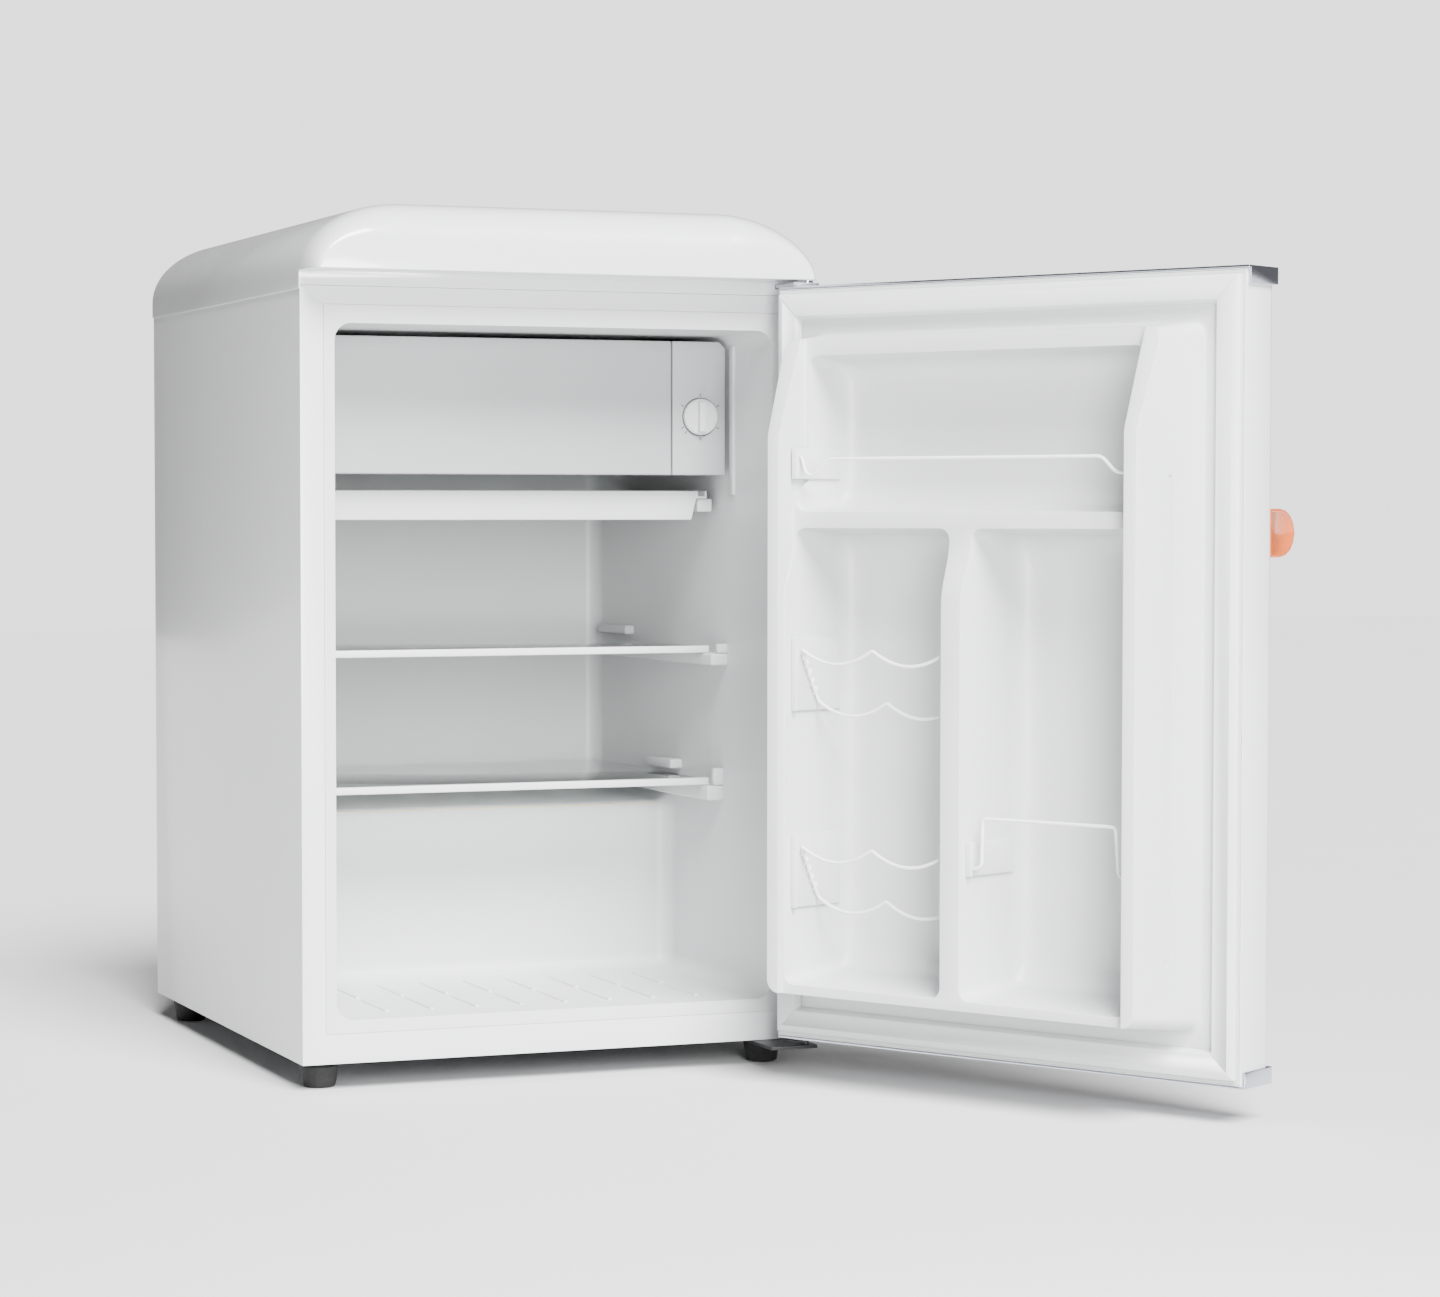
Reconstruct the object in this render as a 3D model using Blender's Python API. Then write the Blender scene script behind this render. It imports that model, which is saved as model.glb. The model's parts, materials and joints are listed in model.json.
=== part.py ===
"""Retro mini fridge, one door, with freezer box, drip tray, two glass shelves and door racks.

The cabinet stands with its front at y = 0, its back at +y and its bottom at z = 0; the feet reach below.
Door pieces are laid out as if the door were shut, in door coordinates:
    u  from the hinge edge towards the free edge
    v  outwards from the door's inner face, so the pieces that reach into the cabinet have negative v
The whole fridge is then moved so that its box at rest, with the door open, is centred on the floor.
"""
import math

import bmesh
import bpy
from mathutils import Matrix, Vector

MM = 0.001

# ---- general ----
GAP = 0.3 * MM                      # clearance between pieces that touch
SHEET = 1.0 * MM                    # painted steel sheet
WALL = 2.0 * MM                     # vacuum formed plastic

# ---- cabinet ----
CABINET_WIDTH = 470 * MM
CABINET_DEPTH = 517 * MM
CABINET_HEIGHT = 670.4 * MM
FRONT_FLANGE = 20.8 * MM            # steel border at the two sides of the opening
TOP_FLANGE = 15.4 * MM
BOTTOM_RAIL = 25.7 * MM
BASE_SHEET = 1.2 * MM
HALF = CABINET_WIDTH / 2
FAR = 2 * CABINET_DEPTH             # beyond everything, for tools that cut right through

# ---- food compartment, the space inside the liner ----
MOUTH_BORDER = 10 * MM              # plastic border between the steel flange and the opening
MOUTH_SILL = 11.8 * MM
MOUTH_HEAD = 16 * MM
CAVITY_DEPTH = CABINET_DEPTH - 97 * MM
CAVITY_TAPER = 8.2 * MM             # the compartment is this much narrower each side at its back
CAVITY_RADIUS = 15 * MM
RIB = 2.5 * MM                      # upright rib beside the freezer front
RIB_WIDTH = 9 * MM
HUMP_FRONT = CABINET_DEPTH - 282 * MM                       # the step over the compressor
HUMP_TOP = 200 * MM
MACHINE_WALL = 32 * MM              # foam between the liner's step and the machine room
MOUTH_HALF = HALF - FRONT_FLANGE - MOUTH_BORDER
MOUTH_BOTTOM = BOTTOM_RAIL + MOUTH_SILL
MOUTH_TOP = CABINET_HEIGHT - TOP_FLANGE - MOUTH_HEAD
MACHINE_FRONT = HUMP_FRONT + MACHINE_WALL
MACHINE_TOP = HUMP_TOP - MACHINE_WALL

# ---- top cap ----
CAP_TOP = CABINET_HEIGHT + 71.1 * MM
CAP_SKIRT = 3 * MM                  # how far the skirt reaches down over the cabinet
CAP_SIDE = 1.3 * MM                 # overhang at each side
CAP_FRONT = 39.3 * MM               # overhang in front, above the door
CAP_UNDERSIDE = 12.6 * MM           # underside of the front overhang, above the cabinet
CAP_BAND = 2 * MM                   # the skirt's band stands this far in front of the cabinet
CAP_CORNER = (88 * MM, 60 * MM)     # half axes of the rounded shoulder
CAP_FRONT_CURVE = 40 * MM
CAP_EDGE_CURVE = 9 * MM
CAP_WALL = 3 * MM

# ---- door ----
DOOR_WIDTH = CABINET_WIDTH - 0.7 * MM
DOOR_THICK = 45.8 * MM
DOOR_BOTTOM = 6.9 * MM
DOOR_TOP = CABINET_HEIGHT + 5.6 * MM
DOOR_GAP = 8 * MM                   # filled by the gasket when the door is shut
DOOR_EDGE_RADIUS = 5 * MM
DOOR_OPEN = math.radians(119.57)
HINGE_INSET = 11.5 * MM             # hinge axis, inwards from the cabinet's right side
HINGE_FORWARD = 33.2 * MM           # hinge axis, forwards of the cabinet
HINGE_PIN = 3.5 * MM                # radius
HINGE_PLATE = 3 * MM
PLATE_HALF = 17 * MM                # half width of the upper hinge plate
PLATE_FRONT = 10 * MM               # the plates reach this far past the hinge axis
BUSH_RADIUS = 6 * MM
BUSH_LENGTH = 15 * MM
TRIM_SHEET = 2 * MM
TRIM_OUTER = 14 * MM                # height of the trim on the outer face and free edge
TRIM_PROUD = 1.5 * MM
GASKET_WIDTH = 23.8 * MM
GASKET_EDGE = 2.5 * MM
GASKET_END = 4.7 * MM
GASKET_SLOPE = 4 * MM
GASKET_LIP = HINGE_INSET - GASKET_EDGE - 3 * MM     # the lip's slope swings clear of the border
GASKET_RELIEF = 2.5 * MM
HINGE_X = HALF - HINGE_INSET
HINGE_Y = -HINGE_FORWARD
TOP_PLATE = DOOR_TOP + 1 * MM       # underside of the upper hinge plate
PANEL_BOTTOM = DOOR_BOTTOM + TRIM_SHEET + GAP
PANEL_TOP = DOOR_TOP - TRIM_SHEET - GAP

# ---- door liner: two tall dykes at the sides, a shelf, an upright divider and a kerb below ----
RELIEF_SIDES = (38.3 * MM, DOOR_WIDTH - 38.3 * MM)
RELIEF_ENDS = (MOUTH_BOTTOM + 13.5 * MM, MOUTH_TOP - 7 * MM)
RELIEF_RADIUS = 12 * MM
OUTER_DRAFT = 0.143
INNER_DRAFT = 0.096
END_DRAFT = 0.114
DYKE_HEIGHT = 84 * MM
DYKE_RIDGE = 12 * MM
DYKE_INNER = OUTER_DRAFT * DYKE_HEIGHT + DYKE_RIDGE         # inner side of the ridge, from the relief's edge
DYKE_SLANT = (RELIEF_ENDS[1] - 89 * MM, RELIEF_ENDS[1])     # the dykes slope back from here up to the top
DYKE_SLANT_END = 50 * MM
DIVIDER_HEIGHT = 76 * MM
DIVIDER_MIDDLE = DOOR_WIDTH / 2 + 0.6 * MM
DIVIDER = (DIVIDER_MIDDLE - 9.75 * MM, DIVIDER_MIDDLE + 9.75 * MM)
BAR_HEIGHT = 62 * MM
BAR = (RELIEF_ENDS[1] - 169 * MM, RELIEF_ENDS[1] - 155 * MM)    # under and upper side of the door shelf
DIVIDER_BEND = (BAR[0] - 63 * MM, BAR[0] - 11 * MM)         # here the divider falls back to the shelf
HEAD_HEIGHT = 45 * MM
HEAD_BOTTOM = RELIEF_ENDS[1] - 20 * MM
KERB_TOP = RELIEF_ENDS[0] + 17 * MM
POCKET_BACK = 10 * MM               # pockets reach this far past the door's inner face
POCKET_RADIUS = 10 * MM

# ---- handle ----
HANDLE_LENGTH = 165 * MM
HANDLE_END = 2 * MM                 # from the door's free edge
HANDLE_HEIGHT = 40 * MM
HANDLE_PROUD = 41 * MM
HANDLE_FLAT = 17.2 * MM             # the flanks run straight this far before the nose rounds over
HANDLE_POST = 22 * MM
HANDLE_GRIP = 18 * MM               # thickness of the bar in front of the finger gap
HANDLE_Z = DOOR_TOP - 216.5 * MM

# ---- freezer, thermostat and drip tray ----
FREEZER_FRONT = 92.5 * MM
FREEZER_LUG = 3 * MM
FREEZER_FRAME = 6 * MM
FREEZER_DEPTH = CAVITY_DEPTH - 195 * MM
FREEZER_SHEET = 1.5 * MM
PANEL_RIGHT = MOUTH_HALF - 6.7 * MM
FLAP_THICK = 11 * MM
FLAP_TOP = MOUTH_TOP - 6 * MM
FLAP_BOTTOM = FLAP_TOP - 122.3 * MM
FLAP_RIGHT = PANEL_RIGHT - 53.1 * MM
FLAP_HINGE = MOUTH_HALF - 16.2 * MM  # hinge axis, left of the middle
FLAP_HEEL = 5 * MM
FLAP_PIN = 1.5 * MM
THERMOSTAT_DEPTH = 108 * MM
HOUSING_CORNER = 6 * MM             # clears the liner's round corner
KNOB_X = PANEL_RIGHT - 24.9 * MM
KNOB_Z = FLAP_BOTTOM + 53.3 * MM
KNOB_RADIUS = 16.5 * MM
KNOB_DISC = 3.5 * MM
KNOB_HEIGHT = 8.5 * MM
SHAFT_RADIUS = 3 * MM
TRAY_FRONT = 118 * MM
TRAY_DEPTH = CAVITY_DEPTH - 175 * MM
TRAY_HALF = MOUTH_HALF - 14.2 * MM
TRAY_TOP = FLAP_BOTTOM - 14.4 * MM
TRAY_HEIGHT = 26.8 * MM
TRAY_LIP = 7 * MM
TRAY_BODY = (TRAY_HALF - 15.5 * MM, TRAY_HALF - 10.5 * MM)  # half widths at its bottom and under its lip
RAIL_INNER = TRAY_HALF - 8 * MM
RAIL_HEIGHT = 12 * MM

# ---- glass shelves ----
SHELF_HALF = MOUTH_HALF - 12.7 * MM
SHELF_FRONT = 117 * MM
SHELF_BACK = CAVITY_DEPTH - 12 * MM
SHELF_SHARE = 0.506                 # the upper shelf's place between the lower one and the tray
GLASS = 4 * MM
EDGE_HEIGHT = 6.4 * MM
EDGE_DEPTH = 9 * MM
LOWER_SHELF = HUMP_TOP + 26.4 * MM  # middle of the glass
UPPER_SHELF = LOWER_SHELF + (TRAY_TOP - TRAY_HEIGHT - LOWER_SHELF) * SHELF_SHARE
SHELF_HEIGHTS = {"upper": UPPER_SHELF, "lower": LOWER_SHELF}
LEDGE_INNER = SHELF_HALF - 5.5 * MM
HOLD_HEIGHT = 9 * MM
LEDGES = {                          # front end, height, front stop, hold-down from, to, clearance above
    "upper": (98 * MM, 11 * MM, 9 * MM, CAVITY_DEPTH - 95 * MM, CAVITY_DEPTH - 20 * MM, 5 * MM),
    "lower": (107 * MM, 14 * MM, 16 * MM, HUMP_FRONT - 30 * MM, HUMP_FRONT + 33 * MM, 4 * MM),
}

# ---- wire racks on the door ----
WIRE = 1.5 * MM                     # radius
CLIP = 2 * MM
CLIP_LIP = 6 * MM
CLIP_FRONT = 68 * MM
CLIP_LENGTH = 62 * MM
WIRE_OFF = CLIP + WIRE + 2 * GAP    # from a pocket's wall to the middle of a wire's end
RACK_FRONT = 60 * MM                # front wire, from the door's inner face
RACK_BACK = 38 * MM
RACK_DROP = 45.5 * MM
RACK_SCALLOP = 12.5 * MM
RACK_SPACE = BAR[0] - KERB_TOP
RACK_HEIGHTS = (KERB_TOP + 0.2873 * RACK_SPACE, KERB_TOP + 0.7203 * RACK_SPACE)
TOP_GUARD_Z = BAR[1] + 46.3 * MM
TOP_GUARD_DIP = 13.5 * MM
BOTTLE_GUARD_FOOT = KERB_TOP + 113 * MM
BOTTLE_GUARD_RISE = 40 * MM

# ---- feet ----
FOOT_HEIGHT = 24 * MM
FOOT_RADIUS = 17 * MM
FOOT_NARROW = 14 * MM
FOOT_BLOCK = 20 * MM                # height of the rubber
FOOT_CHAMFER = 1.5 * MM
STUD_RADIUS = 4 * MM
STUD_LENGTH = 14 * MM
FOOT_INSET = (25 * MM, 35 * MM)

# ---- refrigeration ----
ROOM_FLOOR = BASE_SHEET + 2 * GAP
COMPRESSOR_SIZE = (158 * MM, 122 * MM, 122 * MM)
COMPRESSOR_AT = (62 * MM, CABINET_DEPTH - 119 * MM)
COMPRESSOR_GIRTH = 0.46             # the shell's half width as a share of its mounting plate
MOUNT_HEIGHT = 10 * MM
MOUNT_SHEET = 3 * MM
COMPRESSOR_BASE = ROOM_FLOOR + MOUNT_HEIGHT + MOUNT_SHEET + GAP
PAN = (60 * MM, 45 * MM, 14 * MM)   # half width, half depth and height of the evaporation pan
DRIER_RADIUS = 9 * MM
DRIER_LENGTH = 80 * MM
DRIER_LOW = 46 * MM
DRIER_AT = (-130 * MM, CABINET_DEPTH - 87 * MM)
PIPE = 2.5 * MM                     # radius
PIPE_HOLE = (-60 * MM, CABINET_DEPTH - 40 * MM)
COIL_HALF = HALF - 50 * MM
COIL_BOTTOM = MACHINE_TOP + 47 * MM
COIL_TOP = CABINET_HEIGHT - 77.4 * MM
COIL_RUNS = 11
COIL_PITCH = (COIL_TOP - COIL_BOTTOM) / (COIL_RUNS - 1)
COIL_STANDOFF = 14 * MM
COIL_Y = CABINET_DEPTH + COIL_STANDOFF
COIL_RETURN = 12 * MM               # the line back down runs this far outside the coil
STRIP_WIDTH = 12 * MM
STRIP_SHEET = 1.2 * MM
GLAND_SIZE = (20 * MM, 13 * MM, 20 * MM)
GLAND_BORE = 3.8 * MM

FINISHES = {                         # colour (sRGB), roughness, metallic
    "white_enamel": ((0.90, 0.90, 0.91), 0.28, 0.0),
    "white_plastic": ((0.88, 0.88, 0.89), 0.40, 0.0),
    "clear_glass": ((0.86, 0.92, 0.90), 0.05, 0.0),
    "chrome": ((0.80, 0.81, 0.84), 0.12, 1.0),
    "copper_gloss": ((0.86, 0.55, 0.38), 0.22, 1.0),
    "white_rubber": ((0.86, 0.86, 0.87), 0.65, 0.0),
    "black_rubber": ((0.03, 0.03, 0.03), 0.75, 0.0),
    "foam": ((0.87, 0.80, 0.58), 0.90, 0.0),
    "galvanised_steel": ((0.62, 0.64, 0.66), 0.45, 1.0),
    "aluminium": ((0.78, 0.79, 0.80), 0.35, 1.0),
    "black_enamel": ((0.03, 0.03, 0.035), 0.40, 0.0),
    "copper_tube": ((0.72, 0.42, 0.28), 0.35, 1.0),
    "coated_wire": ((0.92, 0.92, 0.93), 0.30, 0.0),
}


# ============================================================ helpers

def linear(colour):
    return [c / 12.92 if c <= 0.04045 else ((c + 0.055) / 1.055) ** 2.4 for c in colour]


def finish(name):
    """One Principled material, made the first time its name is asked for."""
    material = bpy.data.materials.get(name)
    if material:
        return material
    colour, roughness, metallic = FINISHES[name]
    material = bpy.data.materials.new(name)
    material.use_nodes = True
    shader = material.node_tree.nodes["Principled BSDF"]
    shader.inputs["Base Color"].default_value = (*linear(colour), 1.0)
    shader.inputs["Roughness"].default_value = roughness
    shader.inputs["Metallic"].default_value = metallic
    return material


def empty(name, location, parent=None):
    axis = bpy.data.objects.new(name, None)
    axis.empty_display_size = 0.05
    axis.parent = parent
    offset = axis_at(parent)
    axis.location = Vector(location) - offset
    axis["at"] = list(location)
    bpy.context.scene.collection.objects.link(axis)
    return axis


def axis_at(parent):
    """Where a parent empty stands in the layout, before the door opens and the fridge is centred."""
    return Vector(parent["at"]) if parent else Vector((0, 0, 0))


def add(name, bm, material, parent, smooth=True):
    """Make an object from a bmesh given in layout coordinates, and hang it on its parent."""
    bmesh.ops.recalc_face_normals(bm, faces=bm.faces)
    bmesh.ops.translate(bm, verts=bm.verts, vec=-axis_at(parent))
    mesh = bpy.data.meshes.new(name)
    bm.to_mesh(mesh)
    bm.free()
    if smooth:
        mesh.shade_smooth()
        mesh.set_sharp_from_angle(angle=math.radians(32))
    thing = bpy.data.objects.new(name, mesh)
    thing.data.materials.append(finish(material))
    thing.parent = parent
    bpy.context.scene.collection.objects.link(thing)
    return thing


def hidden(thing):
    thing.hide_render = True
    thing.display_type = "WIRE"
    return thing


def change(thing, operation, *shapes):
    """Cut shapes from a piece or join them to it, one Boolean for each shape."""
    for shape in shapes:
        tool = shape
        if not isinstance(shape, bpy.types.Object):
            tool = add("tool_" + thing.name, shape, "foam", thing.parent, smooth=False)
        hidden(tool)
        step = thing.modifiers.new(operation.lower(), "BOOLEAN")
        step.operation = operation
        step.solver = "EXACT"
        step.object = tool
    return thing


def cut(thing, *shapes):
    return change(thing, "DIFFERENCE", *shapes)


def join(thing, *shapes):
    return change(thing, "UNION", *shapes)


def box(lo, hi):
    bm = bmesh.new()
    size = [b - a for a, b in zip(lo, hi)]
    middle = [(a + b) / 2 for a, b in zip(lo, hi)]
    bmesh.ops.create_cube(bm, size=1, matrix=Matrix.Translation(middle) @ Matrix.Diagonal((*size, 1)))
    return bm


def together(*shapes):
    """Several shapes that stand clear of each other, as one bmesh."""
    bm = bmesh.new()
    for shape in shapes:
        mesh = bpy.data.meshes.new("part")
        shape.to_mesh(mesh)
        shape.free()
        bm.from_mesh(mesh)
        bpy.data.meshes.remove(mesh)
    return bm


def place(point, axis, along):
    """Turn a point of a flat outline into a point in space, at a distance along the axis."""
    a, b = point
    return {"x": (along, a, b), "y": (a, along, b), "z": (a, b, along)}[axis]


def loft(loops):
    """Skin closed loops that all have the same number of points, and cap both ends."""
    bm = bmesh.new()
    rings = [[bm.verts.new(point) for point in loop] for loop in loops]
    count = len(rings[0])
    for ring, following in zip(rings, rings[1:]):
        for i in range(count):
            j = (i + 1) % count
            bm.faces.new((ring[i], ring[j], following[j], following[i]))
    bm.faces.new(rings[0])
    bm.faces.new(rings[-1])
    return bm


def prism(outline, axis, lo, hi):
    return loft([[place(p, axis, along) for p in outline] for along in (lo, hi)])


def turned(profile, centre, axis="z", sides=20):
    """A solid of revolution from (radius, distance along the axis) pairs."""
    loops = []
    for radius, along in profile:
        turns = [math.tau * i / sides for i in range(sides)]
        circle = [(centre[0] + radius * math.cos(t), centre[1] + radius * math.sin(t)) for t in turns]
        loops.append([place(p, axis, along) for p in circle])
    return loft(loops)


def rod(radius, centre, lo, hi, axis="z", sides=16):
    return turned([(radius, lo), (radius, hi)], centre, axis, sides)


def rounded(a0, a1, b0, b1, radius, steps=3):
    """Outline of a rectangle with round corners, anticlockwise from its lower right corner."""
    points = []
    corners = [(a1 - radius, b0 + radius, -90), (a1 - radius, b1 - radius, 0),
               (a0 + radius, b1 - radius, 90), (a0 + radius, b0 + radius, 180)]
    for a, b, start in corners:
        for i in range(steps + 1):
            turn = math.radians(start + 90 * i / steps)
            points.append((a + radius * math.cos(turn), b + radius * math.sin(turn)))
    return points


def tube(name, points, radius, material, parent, cyclic=False, rounds=2):
    """A bent wire or pipe as a curve with filled ends."""
    curve = bpy.data.curves.new(name, "CURVE")
    curve.dimensions = "3D"
    curve.bevel_depth = radius
    curve.bevel_resolution = rounds
    curve.use_fill_caps = True
    spline = curve.splines.new("POLY")
    spline.points.add(len(points) - 1)
    for spot, point in zip(spline.points, points):
        spot.co = (*(Vector(point) - axis_at(parent)), 1)
    spline.use_cyclic_u = cyclic
    wire = bpy.data.objects.new(name, curve)
    wire.data.materials.append(finish(material))
    wire.parent = parent
    bpy.context.scene.collection.objects.link(wire)
    return wire


def bent(corners, radius, steps=3):
    """Round the inner corners of a route with short curves."""
    route = [Vector(p) for p in corners]
    points = [route[0]]
    for before, corner, after in zip(route, route[1:], route[2:]):
        back = before - corner
        forth = after - corner
        reach = min(radius, back.length * 0.45, forth.length * 0.45)
        start = corner + back.normalized() * reach
        end = corner + forth.normalized() * reach
        for i in range(steps + 1):
            t = i / steps
            points.append(start * (1 - t) ** 2 + corner * 2 * t * (1 - t) + end * t ** 2)
    points.append(route[-1])
    return points


def door_x(u):
    return HALF - u


def door_y(v):
    return -DOOR_GAP - v


def door_box(u, v, z):
    return box((door_x(u[1]), door_y(v[1]), z[0]), (door_x(u[0]), door_y(v[0]), z[1]))


def door_loft(sections, radius):
    """Skin rounded rectangles given as (v, u range, z range)."""
    loops = []
    for v, (u0, u1), (z0, z1) in sections:
        outline = rounded(door_x(u1), door_x(u0), z0, z1, radius)
        loops.append([place(p, "y", door_y(v)) for p in outline])
    return loft(loops)


# ============================================================ cabinet

def cabinet_half(y, grow):
    """Half width of the food compartment at a depth, with its walls moved out by grow."""
    return MOUTH_HALF - CAVITY_TAPER * y / CAVITY_DEPTH + grow


def cavity(name, grow, parent, front):
    """The food compartment as a solid, stepped over the compressor, moved out by grow all round."""
    loops = []
    for y in (front, CAVITY_DEPTH + grow):
        taper = CAVITY_TAPER * y / CAVITY_DEPTH
        half = cabinet_half(y, grow)
        low = MOUTH_BOTTOM + taper / 2 - grow
        high = MOUTH_TOP - taper / 2 + grow
        outline = rounded(-half, half, low, high, CAVITY_RADIUS + grow, steps=4)
        loops.append([place(p, "y", y) for p in outline])
    solid = hidden(add(name, loft(loops), "foam", parent, smooth=False))
    return cut(solid, box((-FAR, HUMP_FRONT + grow, -FAR), (FAR, FAR, HUMP_TOP - grow)))


def make_shell(root):
    """Steel wrapper: two sides, a top, and a folded border round the front. Open below and behind."""
    body = box((-HALF, 0, 0), (HALF, CABINET_DEPTH, CABINET_HEIGHT))
    inside = box((-HALF + SHEET, SHEET, -FAR), (HALF - SHEET, FAR, CABINET_HEIGHT - SHEET))
    shell = add("cabinet_shell", body, "white_enamel", root)
    return cut(shell, inside, border_box(0, -FAR, FAR))


def border_box(grow, near, far):
    """The opening in the steel border, moved out by grow."""
    side = HALF - FRONT_FLANGE + grow
    return box((-side, near, BOTTOM_RAIL - grow), (side, far, CABINET_HEIGHT - TOP_FLANGE + grow))


def make_liner(root):
    """Formed plastic liner with its front border, shelf ledges, stops and hold-downs."""
    outer = cavity("liner_outside", WALL, root, GAP * 4)
    inner = cavity("liner_inside", 0, root, -SHEET)
    liner = add("inner_liner", border_box(-GAP, 0, WALL), "white_plastic", root)
    join(liner, outer)
    cut(liner, inner)
    for height, ledge in LEDGES.items():
        join(liner, together(*ledge_blocks(SHELF_HEIGHTS[height], *ledge)))
    return join(liner, together(rib(-1), rib(1)))


def rib(side):
    """Upright rib on a side wall, just in front of the freezer."""
    wall = cabinet_half(FREEZER_FRONT, 0)
    edges = sorted((side * (wall - RIB), side * (wall + WALL / 2)))
    back = FREEZER_FRONT - 3 * MM
    return box((edges[0], back - RIB_WIDTH, TRAY_TOP - 4 * MM), (edges[1], back, MOUTH_TOP - 10 * MM))


def ledge_blocks(middle, front, height, stop, hold_from, hold_to, hold_gap):
    """Ledge, front stop and hold-down on both side walls, for one shelf."""
    top = middle - EDGE_HEIGHT / 2 - GAP
    over = middle + GLASS / 2 + hold_gap
    blocks = []
    for side in (-1, 1):
        spans = (
            (LEDGE_INNER, front, top - height, CAVITY_DEPTH - 10 * MM, top),
            (SHELF_HALF + 1 * MM, front, top + GAP / 2, front + 7 * MM, top + stop),
            (SHELF_HALF - 3 * MM, hold_from, over, hold_to, over + HOLD_HEIGHT),
        )
        for inner, near, low, far, high in spans:
            wall = cabinet_half(far, WALL / 2)
            sides = sorted((side * inner, side * wall))
            blocks.append(box((sides[0], near, low), (sides[1], far, high)))
    return blocks


def make_foam(root):
    side = HALF - SHEET - GAP
    foam = add("cabinet_foam", box((-side, SHEET + GAP, ROOM_FLOOR),
                                   (side, CABINET_DEPTH - SHEET - GAP, CABINET_HEIGHT - SHEET - GAP)),
               "foam", root, smooth=False)
    room = box((-FAR, MACHINE_FRONT - GAP, -FAR), (FAR, FAR, MACHINE_TOP + GAP))
    cut(foam, border_box(GAP, -FAR, WALL + GAP), cavity("foam_inside", WALL + GAP, root, 0), room)
    for x, y in foot_places()[:2]:
        cut(foam, rod(STUD_RADIUS + 2 * GAP, (x, y), -FAR, STUD_LENGTH + GAP, sides=12))
    return foam


def make_sheets(root):
    """Back panel, floor sheet and the folded sheet that closes the machine room off from the foam."""
    edge = HALF - SHEET - GAP
    back = box((-edge, CABINET_DEPTH - SHEET, MACHINE_TOP + GAP),
               (edge, CABINET_DEPTH, CABINET_HEIGHT - SHEET - GAP))
    add("rear_panel", back, "galvanised_steel", root)
    floor = box((-edge, SHEET + GAP, GAP), (edge, CABINET_DEPTH, GAP + BASE_SHEET))
    base = add("base_plate", floor, "galvanised_steel", root)
    for x, y in foot_places():
        cut(base, rod(STUD_RADIUS + 2 * GAP, (x, y), -FAR, FAR, sides=12))
    front = MACHINE_FRONT
    top = MACHINE_TOP
    back = CABINET_DEPTH - GAP
    fold = [(front, ROOM_FLOOR), (front + SHEET, ROOM_FLOOR), (front + SHEET, top - SHEET),
            (back, top - SHEET), (back, top), (front, top)]
    room = add("machine_room_panel", prism(fold, "x", -edge, edge), "galvanised_steel", root)
    cut(room, rod(PIPE * 2, PIPE_HOLE, top - 10 * SHEET, top + 10 * SHEET, sides=12))


def cap_outline(inset):
    """Front view of the cap, from its lower right corner over the top to its lower left corner."""
    half = HALF + CAP_SIDE
    across, up = CAP_CORNER
    points = []
    steps = 7
    for i in range(steps + 1):
        turn = math.radians(90 * i / steps)
        amount = inset(math.cos(turn))
        points.append((half - across + (across - amount) * math.cos(turn),
                       CAP_TOP - up + (up - amount) * math.sin(turn)))
    return points + [(-x, z) for x, z in reversed(points)]


def cap_body(wall, bottom, back):
    """Pillow-shaped body of the cap, with its walls moved in by wall."""
    loops = []
    steps = 5
    for i in range(steps + 1):
        turn = math.radians(90 * i / steps)

        def inset(sideways, turn=turn):
            curve = CAP_EDGE_CURVE + (CAP_FRONT_CURVE - CAP_EDGE_CURVE) * (1 - sideways) ** 0.8
            return wall + curve * (1 - math.sin(turn))

        y = -CAP_FRONT + wall + CAP_FRONT_CURVE * (1 - math.cos(turn))
        outline = cap_outline(inset)
        outline = [(outline[0][0], bottom)] + outline + [(outline[-1][0], bottom)]
        loops.append([place(p, "y", y) for p in outline])
    loops.append([(x, back, z) for x, _, z in loops[-1]])
    return loft(loops)


def make_cap(root):
    """Hollow plastic cap that overhangs the door and sits over the cabinet's top edge."""
    under = CABINET_HEIGHT + CAP_UNDERSIDE
    inner = HALF - CAP_WALL
    cap = add("top_cap", cap_body(0, CABINET_HEIGHT - CAP_SKIRT, CABINET_DEPTH), "white_enamel", root)
    overhang = box((-FAR, -FAR, 0), (FAR, -CAP_BAND, under))
    skirt = box((-HALF - GAP, -FAR, 0), (HALF + GAP, FAR, CABINET_HEIGHT + GAP))
    opening = box((-inner, CAP_BAND, 0), (inner, CABINET_DEPTH - 2 * CAP_WALL, under + 2 * CAP_WALL))
    below = CAP_TOP - CAP_CORNER[1] - MM
    hollow = add("cap_hollow", cap_body(CAP_WALL, below, CABINET_DEPTH - CAP_WALL), "foam", root)
    cut(hollow, box((-FAR, -FAR, 0), (FAR, 2 * CAP_BAND, under + CAP_WALL)))
    cut(cap, overhang, skirt, opening, hollow)
    x0, x1 = hinge_plate_span()
    slot = box((x0 - GAP, -FAR, TOP_PLATE - GAP), (x1 + GAP, 2 * CAP_BAND, TOP_PLATE + HINGE_PLATE + GAP))
    return cut(cap, slot)


# ============================================================ hinges and feet

def hinge_plate_span():
    return (HINGE_X - PLATE_HALF, min(HINGE_X + PLATE_HALF, HALF - CAP_WALL - MM))


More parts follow.
